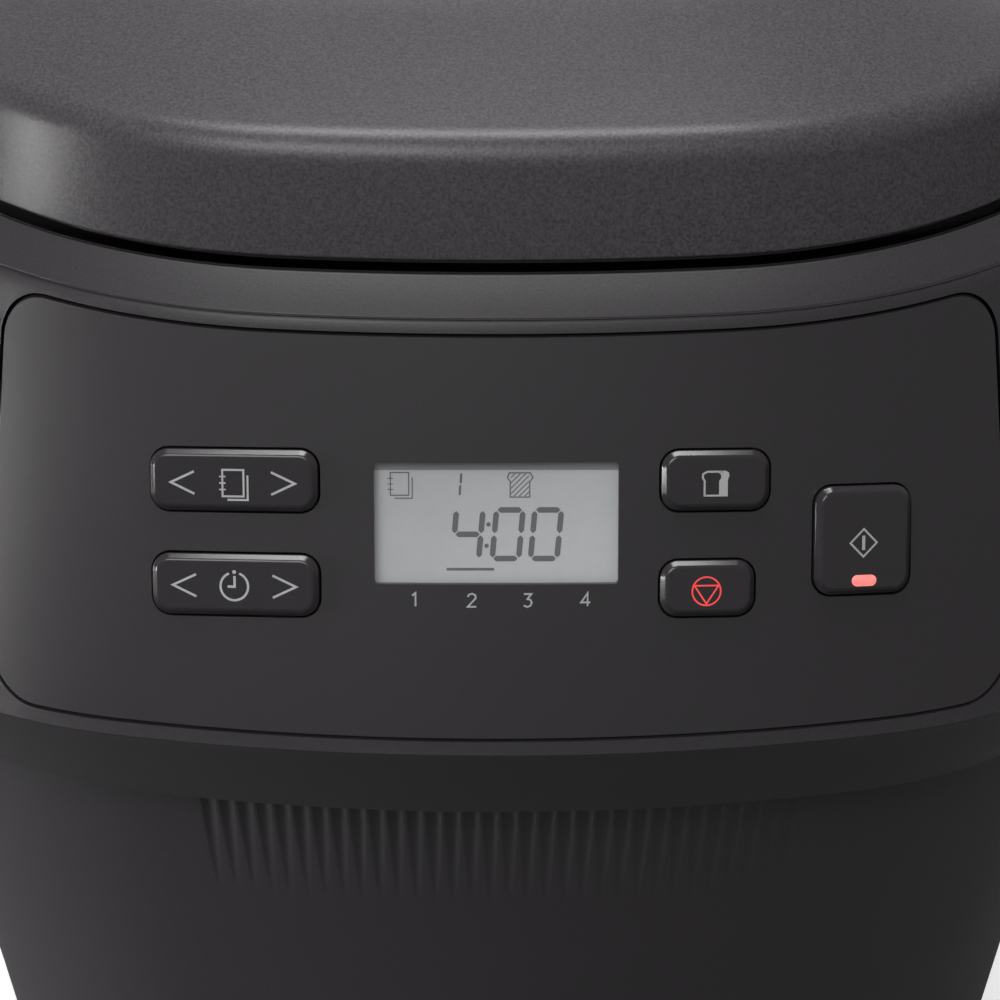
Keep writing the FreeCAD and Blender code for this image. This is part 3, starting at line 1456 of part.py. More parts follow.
for i in range(8):
    vane = doc.addObject("Part::Box", "vane_%d" % i)
    vane.Length, vane.Width, vane.Height = 22, 1.6, 11
    swing = Rotation(Vector(0, 0, 1), 45 * i)
    pitch = Rotation(Vector(1, 0, 0), 38)
    vane.Placement = Placement(
        Vector(0, number(S.motor_y), number(fan_level) + 4.5), swing
    ) * Placement(Vector(7, 0, 0), pitch) * Placement(Vector(0, -0.8, -5.5), Rotation())
    vanes.append(vane)
cooling_fan = fuse("cooling_fan", fan_hub, *vanes)

# Power board and the gland of its cord

power_x = -92
power_board_level = S.base_level + S.base_thick + 5
power_parts = [
    rounded_plate("power_blank", 40, 84, S.board_thick, 3, power_x, 96, power_board_level),
    box("relay", 20, 24, 16, power_x, 76, power_board_level + 1),
    cylinder("capacitor", 9, 28, power_x, 112, power_board_level + 1),
    box("heat_sink", 4, 20, 22, power_x + 14, 100, power_board_level + 1),
]
for i, (x, y) in enumerate(((-16, 58), (16, 58), (-16, 134), (16, 134))):
    power_parts.append(cylinder("power_post_%d" % i, 3, 5.5, power_x + x, y, S.base_level + S.base_thick))
power_board = fuse("power_board", *power_parts)
gland_face = body_level(S.gland_level).back
cord_gland = turned(
    "cord_gland",
    [
        (4, 0),
        (S.gland_radius, 0),
        (S.gland_radius, 10),
        (S.gland_radius + 3, 10),
        (S.gland_radius + 3, 12.5),
        (S.gland_radius - 1, 15),
        (4, 15),
    ],
    S.gland_x,
    gland_face - 9.5,
    S.gland_level,
    ALONG_Y,
)

# Alike small pieces

doc.recompute()
feet = group(
    "feet",
    [
        moved_copy("foot_%d" % i, foot.Shape, Placement(Vector(x, y, 0), Rotation()))
        for i, (x, y) in enumerate(
            (number(S.foot_x) * side, number(y)) for side in (-1, 1) for y in (S.foot_front, S.foot_rear)
        )
    ],
)

NODES = [
    base_plate,
    feet,
    base_screws,
    lower_casing,
    upper_casing,
    top_frame,
    hinge_pins,
    control_panel,
    display_window,
    display_module,
    control_board,
    key_switches,
    board_screws,
    oven_liner,
    heating_element,
    heater_clips,
    temperature_sensor,
    pan_seat,
    chassis,
    drive_bearing,
    motor,
    drive_belt,
    power_board,
    cord_gland,
    lid_cover,
    lid_base,
    lid_liner,
    lid_seal,
    steam_vent,
    lid_screws,
    drive_shaft,
    drive_pulley,
    drive_coupling,
    motor_shaft,
    motor_pulley,
    cooling_fan,
    bread_pan,
    pan_base,
    shaft_bush,
    shaft_seal,
    handle_studs,
    pan_handle,
    kneading_shaft,
    pan_coupling,
    kneading_blade,
    keys[0],
    keys[1],
    keys[2],
    keys[3],
    start_key,
    start_lamp,
]

doc.recompute()
failed = [obj.Label for obj in doc.Objects if "Invalid" in obj.State or "Error" in obj.State]
failed += [node.Label for node in NODES if node.Shape.isNull() or not node.Shape.isValid()]
if failed:
    raise RuntimeError("these did not build: " + ", ".join(failed))
os.makedirs("parts", exist_ok=True)
for node in NODES:
    node.Shape.exportStep("parts/%s.step" % node.Label)
    print("%-20s %2d solids %10.1f mm3" % (node.Label, len(node.Shape.Solids), node.Shape.Volume))
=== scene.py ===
import bmesh
import bpy
import json
import math
import numpy as np
from mathutils import Matrix, Vector


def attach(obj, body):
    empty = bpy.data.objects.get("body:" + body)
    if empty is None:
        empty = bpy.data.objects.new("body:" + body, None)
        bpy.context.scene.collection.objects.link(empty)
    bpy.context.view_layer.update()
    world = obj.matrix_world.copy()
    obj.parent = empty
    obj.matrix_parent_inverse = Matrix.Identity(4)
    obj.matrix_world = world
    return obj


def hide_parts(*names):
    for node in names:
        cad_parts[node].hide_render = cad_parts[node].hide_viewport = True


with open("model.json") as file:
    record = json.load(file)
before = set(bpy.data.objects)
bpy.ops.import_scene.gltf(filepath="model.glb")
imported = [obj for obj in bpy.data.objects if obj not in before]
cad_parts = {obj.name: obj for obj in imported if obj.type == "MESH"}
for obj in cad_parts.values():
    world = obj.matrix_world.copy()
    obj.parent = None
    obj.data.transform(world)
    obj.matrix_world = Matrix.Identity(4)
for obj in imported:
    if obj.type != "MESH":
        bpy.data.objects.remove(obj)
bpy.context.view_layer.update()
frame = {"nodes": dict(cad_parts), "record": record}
scene = bpy.context.scene

# Camera. It stands in front of the control panel, a little above the lid, and looks down at
# the keys, so the machine fills the picture from the lid to the fluted casing.
CAMERA_PLACE = (-0.0006, -0.5111, 0.5033)
LOOK_DOWN = math.radians(32.04)
LOOK_ASIDE = math.radians(-0.10)
camera_data = bpy.data.cameras.new("camera")
camera_data.sensor_width = 36.0
camera_data.lens = 80.15
camera = bpy.data.objects.new("camera", camera_data)
camera.location = CAMERA_PLACE
camera.rotation_euler = (math.pi / 2 - LOOK_DOWN, 0, LOOK_ASIDE)
scene.collection.objects.link(camera)
scene.camera = camera

# Lower casing. A tapering moulded plastic tub, open below, with a row of upright flutes under
# the collar that run out downwards, cooling slots in the back and a round hole for the cord.
# Here and below, sizes are in millimetres until a mesh is made an object.
LIP = dict(z=243, half=159, front=185, back=185, bow=407, corner=104, rear=66)
BOW_EDGE = math.radians(10.4)
BODY_TAPER = 0.11
BACK_TAPER = 0.035
BODY_WALL = 3.0
FLUTES = 32
FLUTE_PITCH = 3.85
FLUTE_DEPTH = 0.85
FLUTE_STEPS = 10
FLUTE_FOOT = 184
FLUTE_FADE = 0.05
FLUTE_GROWTH = 1.155 / 51
PLAIN_STEPS = 4
BODY_HEIGHTS = [11, 40, 80, 120, 160, 180] + list(np.linspace(FLUTE_FOOT, 222, 20)) + [232]
BACK_WALL = 160
COOLING_SLOTS = 9
SLOT_PITCH = 9
SLOT_HEIGHT = 85
SLOT_SIZE = (3, 40, 26)
SLOT_CORNER = 1.4
GLAND_X, GLAND_Z = 62, 46
GLAND_RADIUS = 8.05
BODY_OF = {node: body for body, nodes in frame["record"]["behaviour"]["bodies"].items() for node in nodes}


def spaced(first, last, count):
    """Evenly spaced values from one end to the other, without the first."""
    return list(np.linspace(first, last, count + 1)[1:])


FRONT_SLOPES = [-BOW_EDGE] + spaced(-BOW_EDGE, BOW_EDGE, 52)
CORNER_SLOPES = spaced(BOW_EDGE, math.pi / 2, 36)


def inset(level, by, z, back=None, rear=None):
    """The casing's outline drawn in evenly, at another height."""
    drawn = {key: level[key] - by for key in ("half", "front", "bow", "corner")}
    drawn.update(
        z=z,
        back=level["back"] - by if back is None else back,
        rear=level["rear"] - by if rear is None else rear,
    )
    return drawn


def front_point(level, slope):
    """Where the bowed front, or the corner beside it, has a slope, as (x, y)."""
    reach = level["half"] - level["corner"]
    span = level["bow"] - level["corner"]
    centre = level["bow"] - level["front"]
    if abs(math.sin(slope)) <= reach / span:
        return level["bow"] * math.sin(slope), centre - level["bow"] * math.cos(slope)
    corner_y = centre - math.sqrt(span**2 - reach**2)
    x = math.copysign(reach, slope) + level["corner"] * math.sin(slope)
    return x, corner_y - level["corner"] * math.cos(slope)


def outline(level, front_slopes=FRONT_SLOPES):
    """Points round the casing at one level, from the left corner by the front to the back."""
    slopes = [-a for a in reversed(CORNER_SLOPES)] + front_slopes + CORNER_SLOPES
    points = [front_point(level, a) for a in slopes]
    half, back, rear = level["half"], level["back"], level["rear"]
    side = spaced(points[-1][1], back - rear, 12)
    turns = spaced(0, math.pi / 2, 18)
    points += [(half, y) for y in side]
    points += [(half - rear + rear * math.cos(a), back - rear + rear * math.sin(a)) for a in turns]
    points += [(x, back) for x in spaced(half - rear, rear - half, 20)]
    points += [(rear - half - rear * math.sin(a), back - rear + rear * math.cos(a)) for a in turns]
    points += [(-half, y) for y in side[-2::-1]]
    return [Vector((x, y, level["z"])) for x, y in points]


def body_level(z):
    """The lower casing's plain outline at a height."""
    drop = BODY_TOP["z"] - z
    return inset(BODY_TOP, drop * BODY_TAPER, z, BODY_TOP["back"] - drop * BACK_TAPER)


def fluted(level):
    """The lower casing's outline with the flutes pressed in as deep as they are there."""
    count = FLUTES * FLUTE_STEPS
    reach = FLUTES * FLUTE_PITCH / 2 / BODY_TOP["bow"]
    plain = spaced(reach, BOW_EDGE, PLAIN_STEPS)
    slopes = [-a for a in reversed(plain)] + list(np.linspace(-reach, reach, count + 1)) + plain
    trough = (level["z"] - FLUTE_FOOT) * FLUTE_GROWTH - FLUTE_FADE
    points = outline(level, slopes)
    for i in range(count + 1):
        across = 2 * (i % FLUTE_STEPS) / FLUTE_STEPS - 1
        depth = max(0.0, trough - FLUTE_DEPTH * across**2)
        slope = slopes[PLAIN_STEPS + i]
        inward = Vector((-math.sin(slope), math.cos(slope), 0))
        points[len(CORNER_SLOPES) + PLAIN_STEPS + i] += inward * depth
    return points


def start_ring(bm, points):
    """A closed loop of edges through the points."""
    verts = [bm.verts.new(p) for p in points]
    return [bm.edges.new(pair) for pair in zip(verts, verts[1:] + verts[:1])]


def next_ring(bm, ring, points):
    """Extrudes a ring of edges and moves the new one on to the points."""
    order = [edge.verts[0] for edge in ring]
    made = bmesh.ops.extrude_edge_only(bm, edges=ring)["geom"]
    fresh = set(v for v in made if isinstance(v, bmesh.types.BMVert))
    moved = []
    for vert, point in zip(order, points):
        other = next(e.other_vert(vert) for e in vert.link_edges if e.other_vert(vert) in fresh)
        other.co = point
        moved.append(other)
    return [bm.edges.get(pair) for pair in zip(moved, moved[1:] + moved[:1])]


def skin(bm, rings):
    """A wall through rings of points, one after the other. Gives the last ring's edges."""
    ring = start_ring(bm, rings[0])
    for points in rings[1:]:
        ring = next_ring(bm, ring, points)
    return ring


def to_object(name, bm, size=0.001):
    """Makes a mesh object from a bmesh in millimetres."""
    bmesh.ops.scale(bm, vec=(size, size, size), verts=bm.verts)
    mesh = bpy.data.meshes.new(name)
    bm.to_mesh(mesh)
    bm.free()
    obj = bpy.data.objects.new(name, mesh)
    scene.collection.objects.link(obj)
    return obj


def mark_sharp(mesh, degrees):
    """Shades a mesh smooth, apart from its borders and its sharper edges."""
    bm = bmesh.new()
    bm.from_mesh(mesh)
    for face in bm.faces:
        face.smooth = True
    for edge in bm.edges:
        edge.smooth = len(edge.link_faces) == 2 and edge.calc_face_angle(0) < math.radians(degrees)
    bm.to_mesh(mesh)
    bm.free()


def seat(obj, material, node=None, body=None, degrees=32):
    """Gives a piece its material, and fixes it where its node goes or on a body."""
    mark_sharp(obj.data, degrees)
    obj.data.materials.clear()
    obj.data.materials.append(material)
    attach(obj, body or BODY_OF[node])
    if node:
        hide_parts(node)


def carve(obj, cutters, operation="DIFFERENCE"):
    """Cuts shapes out of a piece, or keeps what lies in one, and throws the cutters away."""
    for cutter in cutters:
        tool = obj.modifiers.new("cut", "BOOLEAN")
        tool.operation = operation
        tool.solver = "EXACT"
        tool.object = cutter
        bpy.context.view_layer.update()
        result = obj.evaluated_get(bpy.context.evaluated_depsgraph_get())
        mesh = bpy.data.meshes.new_from_object(result)
        obj.modifiers.clear()
        old = obj.data
        obj.data = mesh
        bpy.data.meshes.remove(old)
        mesh.name = obj.name
        bpy.data.objects.remove(cutter)


def new_material(name):
    """A material with its node tree and its shader."""
    material = bpy.data.materials.new(name)
    material.use_nodes = True
    tree = material.node_tree
    return material, tree, tree.nodes["Principled BSDF"]


def noise(tree, scale, detail=2.0, rough=0.5, stretch=None):
    """A noise on the piece's own coordinates, which may be stretched."""
    where = tree.nodes.new("ShaderNodeTexCoord")
    texture = tree.nodes.new("ShaderNodeTexNoise")
    texture.inputs["Scale"].default_value = scale
    texture.inputs["Detail"].default_value = detail
    texture.inputs["Roughness"].default_value = rough
    source = where.outputs["Object"]
    if stretch:
        mapping = tree.nodes.new("ShaderNodeMapping")
        mapping.inputs["Scale"].default_value = stretch
        tree.links.new(source, mapping.inputs["Vector"])
        source = mapping.outputs["Vector"]
    tree.links.new(source, texture.inputs["Vector"])
    return texture.outputs["Fac"]


def vary(tree, factor, low, high, socket):
    """Drives a number from a noise between two ends."""
    spread = tree.nodes.new("ShaderNodeMapRange")
    spread.inputs["From Min"].default_value = 0.3
    spread.inputs["From Max"].default_value = 0.7
    spread.inputs["To Min"].default_value = low
    spread.inputs["To Max"].default_value = high
    tree.links.new(factor, spread.inputs["Value"])
    tree.links.new(spread.outputs["Result"], socket)


def tint(tree, factor, first, second, socket, low=0.35, high=0.65):
    """Mixes two colours over a noise."""
    ramp = tree.nodes.new("ShaderNodeValToRGB")
    ramp.color_ramp.elements[0].position = low
    ramp.color_ramp.elements[0].color = (*first, 1)
    ramp.color_ramp.elements[1].position = high
    ramp.color_ramp.elements[1].color = (*second, 1)
    tree.links.new(factor, ramp.inputs["Fac"])
    tree.links.new(ramp.outputs["Color"], socket)


def rough_up(tree, shader, factor, depth):
    """Raises a fine relief of the given depth in metres."""
    bump = tree.nodes.new("ShaderNodeBump")
    bump.inputs["Strength"].default_value = 1.0
    bump.inputs["Distance"].default_value = depth
    tree.links.new(factor, bump.inputs["Height"])
    tree.links.new(bump.outputs["Normal"], shader.inputs["Normal"])


def moulded(name, colour, roughness, grain, depth, speckle=1.25):
    """Moulded plastic: an even colour with a fine spark-eroded grain."""
    material, tree, shader = new_material(name)
    fine = noise(tree, grain, 3.0, 0.6)
    dark, light = [c / speckle for c in colour], [c * speckle for c in colour]
    tint(tree, fine, dark, light, shader.inputs["Base Color"])
    vary(tree, noise(tree, 24.0, 4.0), roughness - 0.03, roughness + 0.03, shader.inputs["Roughness"])
    rough_up(tree, shader, fine, depth)
    return material


BODY_TOP = inset(LIP, 18.8, 223)
casing_plastic = moulded(
    "charcoal_casing", (0.0275, 0.0245, 0.0275), roughness=0.42, grain=2600.0, depth=0.00003
)
bm = bmesh.new()
skin(bm, [fluted(body_level(z)) for z in BODY_HEIGHTS])
bmesh.ops.recalc_face_normals(bm, faces=bm.faces)
bmesh.ops.solidify(bm, geom=bm.faces[:], thickness=BODY_WALL)
lower_casing = to_object("lower_casing_shell", bm)
cutters = []
for i in range(COOLING_SLOTS):
    bm = bmesh.new()
    place = Matrix.Translation(((i - COOLING_SLOTS // 2) * SLOT_PITCH, BACK_WALL, SLOT_HEIGHT))
    bmesh.ops.create_cube(bm, size=1.0, matrix=place @ Matrix.Diagonal((*SLOT_SIZE, 1)))
    through = [e for e in bm.edges if abs(e.verts[0].co.y - e.verts[1].co.y) > 1]
    bmesh.ops.bevel(
        bm, geom=through, offset=SLOT_CORNER, segments=4, profile=0.5, affect="EDGES", material=-1
    )
    cutters.append(to_object("slot_%d" % i, bm))
bm = bmesh.new()
drill = Matrix.Translation((GLAND_X, BACK_WALL, GLAND_Z)) @ Matrix.Rotation(math.pi / 2, 4, "X")
bmesh.ops.create_cone(
    bm, cap_ends=True, segments=48, radius1=GLAND_RADIUS, radius2=GLAND_RADIUS, depth=60, matrix=drill
)
cutters.append(to_object("gland_hole", bm))
carve(lower_casing, cutters)
seat(lower_casing, casing_plastic, "lower_casing", degrees=28)

# Upper casing. A moulded collar whose front leans back like a desk. It has a crisp lip, an
# undercut band below that, a shelf that meets the lower casing and a let-in opening for the
# panel. Its profile is a list of places, each as how far it is drawn in and how high it is.
RIM = dict(z=317, half=140, front=152, back=176, bow=407, corner=110, rear=66)
COLLAR_WALL = 3.0
UNDER_LIP = [(18.5, 223), (18.5, 220), (11.6, 220), (11.0, 220.25), (10.8, 220.8)]
UNDER_LIP += [(10.8 - 10.5 * t, 220.8 + 21.6 * t) for t in spaced(0, 1, 6)]
UNDER_LIP += [(0.08, 242.75), (0.02, 243.1)]
FACE_HEIGHTS = np.linspace(243.5, 316.2, 40)
RIM_EDGE = [(0.15, 316.8), (0.6, 317), (COLLAR_WALL, 317), (COLLAR_WALL, 312)]
INNER_WALL = [(COLLAR_WALL, 246), (14, 223)]
PANEL_TOP = 314
PANEL_BOTTOM = 246
PANEL_HALF_TOP = 93.4
PANEL_HALF_BOTTOM = 97.8
PANEL_CORNER = 9
SEAM = 0.7
FROM_FRONT = Matrix.Rotation(math.pi / 2, 4, "X")


def collar_level(z):
    """The collar's outline between the lip and the rim, as points at like slopes."""
    share = (z - LIP["z"]) / (RIM["z"] - LIP["z"])
    return [a.lerp(b, share) for a, b in zip(outline(LIP), outline(RIM))]


def rounded_loop(corners, radius, steps):
    """Points round a flat polygon with its corners rounded."""
    spots = []
    for i, corner in enumerate(corners):
        corner = Vector(corner)
        before = (Vector(corners[i - 1]) - corner).normalized()
        after = (Vector(corners[(i + 1) % len(corners)]) - corner).normalized()
        half_angle = before.angle(after) / 2
        centre = corner + (before + after).normalized() * (radius / math.sin(half_angle))
        start = corner + before * (radius / math.tan(half_angle)) - centre
        end = corner + after * (radius / math.tan(half_angle)) - centre
        sweep = start.angle_signed(end)
        for k in range(steps + 1):
            turned = start.copy()
            turned.rotate(Matrix.Rotation(-sweep * k / steps, 2))
            spots.append(centre + turned)
    return spots


def panel_loop(grow):
    """The panel's outline seen from the front, let out by a margin."""
    top, bottom = PANEL_TOP + grow, PANEL_BOTTOM - grow
    upper, lower = PANEL_HALF_TOP + grow, PANEL_HALF_BOTTOM + grow
    corners = [(-lower, bottom), (lower, bottom), (upper, top), (-upper, top)]
    return rounded_loop(corners, PANEL_CORNER + grow, 14)


def cap_ring(bm, ring):
    """Closes a ring of edges with a face."""
    return bmesh.ops.contextual_create(bm, geom=ring)["faces"]


def draw_out(bm, faces, by):
    """Extrudes faces along a vector into a closed block."""
    made = bmesh.ops.extrude_face_region(bm, geom=faces)["geom"]
    bmesh.ops.translate(bm, vec=by, verts=[v for v in made if isinstance(v, bmesh.types.BMVert)])
    bmesh.ops.recalc_face_normals(bm, faces=bm.faces)


def block(name, loop, low, high, place):
    """A block with a flat outline, between two heights over a place."""
    bm = bmesh.new()
    ring = start_ring(bm, [Vector((*spot, low)) for spot in loop])
    draw_out(bm, cap_ring(bm, ring), (0, 0, high - low))
    bmesh.ops.transform(bm, matrix=place, verts=bm.verts)
    return to_object(name, bm)


bm = bmesh.new()
rings = [outline(inset(LIP, *spot)) for spot in UNDER_LIP]
rings += [collar_level(z) for z in FACE_HEIGHTS]
rings += [outline(inset(RIM, *spot)) for spot in RIM_EDGE]
rings += [outline(inset(LIP, *spot)) for spot in INNER_WALL]
last = skin(bm, rings)
first = [edge for edge in bm.edges if edge.is_boundary and edge not in last]
bmesh.ops.bridge_loops(bm, edges=first + last)
bmesh.ops.recalc_face_normals(bm, faces=bm.faces)
collar = to_object("collar", bm)
carve(collar, [block("collar_opening", panel_loop(SEAM), 80, 200, FROM_FRONT)])
seat(collar, casing_plastic, "upper_casing", degrees=34)

# Shoulder and deck. One moulding that slopes up from the rim to the lid, carries the deck the
# oven hangs in, and has two pairs of hinge cheeks on the ledge at the back. The deck and cheeks
# keep their CAD shape, and the slope is drawn again with eased edges.
SLOPE_TILT = (0.45, 0.95)
SLOPE_HEIGHTS = (316.9, 322.7)
SHOULDER_SIDE = [(0.45, 316.6), (0.45, 317.15), (8.0, 322.6), (8.3, 320.5)]
SHOULDER_BENDS = (0.5, 0.5)


def merged(node, size=1.0):
    """A copy of a CAD piece with its loose triangles joined, at a scale."""
    bm = bmesh.new()
    bm.from_mesh(frame["nodes"][node].data)
    bmesh.ops.remove_doubles(bm, verts=bm.verts, dist=2e-6)
    bmesh.ops.scale(bm, vec=(size, size, size), verts=bm.verts)
    return bm


def eased(spots, radii, steps):
    """A line through spots with a round at each bend, as (in, up)."""
    line = [Vector(spots[0])]
    for before, bend, after, radius in zip(spots, spots[1:], spots[2:], radii):
        bend = Vector(bend)
        back, on = (Vector(before) - bend).normalized(), (Vector(after) - bend).normalized()
        reach = radius / math.tan(back.angle(on) / 2)
        for k in range(steps + 1):
            t = k / steps
            first, second = bend + back * reach * (1 - t), bend + on * reach * t
            line.append(first.lerp(second, t))
    line.append(Vector(spots[-1]))
    return line


def is_slope(face):
    """Whether a face of the moulding belongs to its slope."""
    tilted = SLOPE_TILT[0] < face.normal.z < SLOPE_TILT[1]
    return tilted and SLOPE_HEIGHTS[0] < face.calc_center_median().z < SLOPE_HEIGHTS[1]


bm = merged("top_frame", 1000)
bmesh.ops.delete(bm, geom=[face for face in bm.faces if is_slope(face)], context="FACES")
skin(bm, [outline(inset(RIM, *spot)) for spot in eased(SHOULDER_SIDE, SHOULDER_BENDS, 4)])
bmesh.ops.recalc_face_normals(bm, faces=bm.faces)
seat(to_object("shoulder", bm), casing_plastic, "top_frame", degrees=34)

# Hinge pins. Two short pins of drawn steel that go through the cheeks and the lid's lugs. They
# are cut to length and their ends are slightly eased.
SHARP_TURN = math.radians(35)


def metal(name, colour, roughness, stretch=(1, 1, 1)):
    """Bare metal with a drawn or rolled grain."""
    material, tree, shader = new_material(name)
    shader.inputs["Metallic"].default_value = 1.0
    grain = noise(tree, 900.0, 4.0, 0.6, stretch)
    tint(tree, grain, [c * 0.88 for c in colour], colour, shader.inputs["Base Color"])
    vary(tree, grain, roughness - 0.05, roughness + 0.08, shader.inputs["Roughness"])
    rough_up(tree, shader, grain, 0.000004)
    return material


def finish(node, material, width=0):
    """A copy of a CAD piece in its material, with its edges eased by a width."""
    bm = merged(node)
    bmesh.ops.join_triangles(
        bm, faces=bm.faces, angle_face_threshold=math.radians(12), angle_shape_threshold=math.radians(70)
    )
    if width:
        sharp = [e for e in bm.edges if len(e.link_faces) == 2 and e.calc_face_angle(0) > SHARP_TURN]
        bmesh.ops.bevel(
            bm,
            geom=sharp,
            offset=width * 0.001,
            segments=2,
            profile=0.5,
            affect="EDGES",
            clamp_overlap=True,
            material=-1,
        )
    seat(to_object(node + "_finished", bm, 1.0), material, node)


steel = metal("bright_steel", (0.62, 0.62, 0.62), roughness=0.28)
finish("hinge_pins", steel, 0.3)

# Lid. A shallow moulded cover with a soft edge all round and a crowned top with a fine grain.
# Two lugs at the back turn on the hinge pins, and a pocket in the top takes the steam vent.
LID_BACK = 156.0
LID_EDGE = inset(RIM, 9.2, 323.9, LID_BACK)
LID_SIDE = [(1.2, 323.9), (0, 324.4), (5, 345.5), (46, 356), (76, 359.6), (84, 360)]
LID_BENDS = (0.6, 8, 90, 100)
LID_WALL = 2.4
REAR_CORNERS = {0: 56.8, 5: 51.8, 46: 20, 76: 12}
HINGE_Y, HINGE_Z = 165, 329.5
LUG_PLACES = (-84, 84)
LUG_WIDTH = 12
LUG_RADIUS = 5.3
LUG_ROOT = 152
VENT_POCKET = dict(width=61.9, depth=19.9, corner=5.9)
VENT_Y = 72
POCKET_FLOOR = 348


def lid_level(by, z):
    """The lid's outline where it is drawn in by a distance."""
    rear = float(np.interp(by, list(REAR_CORNERS), list(REAR_CORNERS.values())))
    return outline(inset(LID_EDGE, by, z, LID_BACK - by, rear))


def plan_loop(width, depth, corner, steps=8):
    """A rectangle with rounded corners round the middle."""
    w, d = width / 2, depth / 2
    return rounded_loop([(-w, -d), (w, -d), (w, d), (-w, d)], corner, steps)


lid_plastic = moulded(
    "grained_lid", (0.060, 0.0545, 0.060), roughness=0.35, grain=1700.0, depth=0.00004, speckle=1.5
)
bm = bmesh.new()
ring = skin(bm, [lid_level(*spot) for spot in eased(LID_SIDE, LID_BENDS, 9)[:-1]])
cap_ring(bm, ring)
bmesh.ops.recalc_face_normals(bm, faces=bm.faces)
bmesh.ops.solidify(bm, geom=bm.faces[:], thickness=LID_WALL)
lug_side = [
    (HINGE_Y + LUG_RADIUS * math.cos(a), HINGE_Z + LUG_RADIUS * math.sin(a))
    for a in np.radians(np.linspace(90, -90, 25))
]
lug_side += [(LUG_ROOT, HINGE_Z - LUG_RADIUS), (LUG_ROOT, HINGE_Z + LUG_RADIUS)]
for x in LUG_PLACES:
    ring = start_ring(bm, [Vector((x - LUG_WIDTH / 2, y, z)) for y, z in lug_side])
    draw_out(bm, cap_ring(bm, ring), (LUG_WIDTH, 0, 0))
lid = to_object("lid_shell", bm)
pocket_place = Matrix.Translation((0, VENT_Y, 0))
carve(lid, [block("vent_pocket", plan_loop(**VENT_POCKET), POCKET_FLOOR, POCKET_FLOOR + 20, pocket_place)])
seat(lid, lid_plastic, "lid_cover", degrees=30)

# Steam vent. A slotted insert of moulded plastic that is let into the pocket in the top of the
# lid, towards its back edge.
finish("steam_vent", casing_plastic, 0.35)

# Control panel. A thin moulded face let into the collar with an even dark seam, pierced for the
# five keys and the display. The panel follows the collar's bow, so the two stay flush. A key is
# given by how far across and up the slope it is from the panel's middle, its width and height.
LEAN = math.atan2(LIP["front"] - RIM["front"], RIM["z"] - LIP["z"])
HALF_WAY = {key: (LIP[key] + RIM[key]) / 2 for key in LIP}
PANEL_MIDDLE = Matrix.Translation((0, -HALF_WAY["front"], HALF_WAY["z"]))
PANEL = PANEL_MIDDLE @ Matrix.Rotation(math.pi / 2 - LEAN, 4, "X")
PANEL_REACH = (99, 35.5)
PANEL_THICKNESS = (0, 1.9, -0.4)
WINDOW = PANEL @ Matrix.Translation((-0.7, 3.2, 0))
WINDOW_HOLE = dict(width=45, depth=22.6, corner=0.6)
KEYS = {
    "program_key": (-49, 11, 31.4, 11.5),
    "timer_key": (-49, -8.5, 31.4, 11.5),
    "size_key": (39.6, 11, 20.1, 11.2),
    "stop_key": (38.3, -9.1, 17.6, 10.5),
    "start_key": (67.5, -0.7, 18.8, 20.4),
}
KEY_CORNER = 3.4
KEY_GAP = 0.4
HOLE_BOTTOM, HOLE_TOP = -12, 8
SLOPES = np.radians(np.linspace(0, 90, 361))
LIP_FRONT = np.array([front_point(LIP, a) for a in SLOPES])
RIM_FRONT = np.array([front_point(RIM, a) for a in SLOPES])


def front_y(x, z):
    """How far forward the collar's face stands at a place seen from the front."""
    share = (z - LIP["z"]) / (RIM["z"] - LIP["z"])
    mixed = LIP_FRONT * (1 - share) + RIM_FRONT * share
    return float(np.interp(abs(x), mixed[:, 0], mixed[:, 1]))


def set_back(x):
    """How far the panel has curved back at a distance from its middle."""
    bow, corner = HALF_WAY["bow"], HALF_WAY["corner"]
    reach = HALF_WAY["half"] - corner
    if abs(x) <= bow * reach / (bow - corner):
        return bow - math.sqrt(bow**2 - x**2)
    centre = bow - math.sqrt((bow - corner) ** 2 - reach**2)
    return centre - math.sqrt(corner**2 - (abs(x) - reach) ** 2)


def stand(x, up):
    """A place on the panel's bowed face, with its own across, up and out."""
    slope = (set_back(x + 1) - set_back(x - 1)) / 2 * math.cos(LEAN)
    place = Matrix.Translation((x, up, -set_back(x) * math.cos(LEAN)))
    return PANEL @ place @ Matrix.Rotation(math.atan(slope), 4, "Y")


panel_plastic = moulded(
    "panel_plastic", (0.0250, 0.0222, 0.0250), roughness=0.42, grain=3200.0, depth=0.000015, speckle=1.12
)
bm = bmesh.new()
bmesh.ops.create_grid(bm, x_segments=132, y_segments=48, size=1.0)
for vert in bm.verts:
    x, z = vert.co.x * PANEL_REACH[0], HALF_WAY["z"] + vert.co.y * PANEL_REACH[1]
    vert.co = (x, front_y(x, z), z)
draw_out(bm, bm.faces[:], PANEL_THICKNESS)
panel = to_object("panel_face", bm)
carve(panel, [block("panel_outline", panel_loop(0), 100, 230, FROM_FRONT)], "INTERSECT")
holes = [block("window_hole", plan_loop(**WINDOW_HOLE), HOLE_BOTTOM, HOLE_TOP, WINDOW)]
for name, (x, up, width, height) in KEYS.items():
    loop = plan_loop(width + 2 * KEY_GAP, height + 2 * KEY_GAP, KEY_CORNER + KEY_GAP)
    holes.append(block(name + "_hole", loop, HOLE_BOTTOM, HOLE_TOP, stand(x, up)))
carve(panel, holes)
eased_edge = panel.modifiers.new("eased_edge", "BEVEL")
eased_edge.width = 0.00022
eased_edge.segments = 2
eased_edge.limit_method = "ANGLE"
eased_edge.angle_limit = math.radians(50)
eased_edge.use_clamp_overlap = True
seat(panel, panel_plastic, "control_panel", degrees=34)

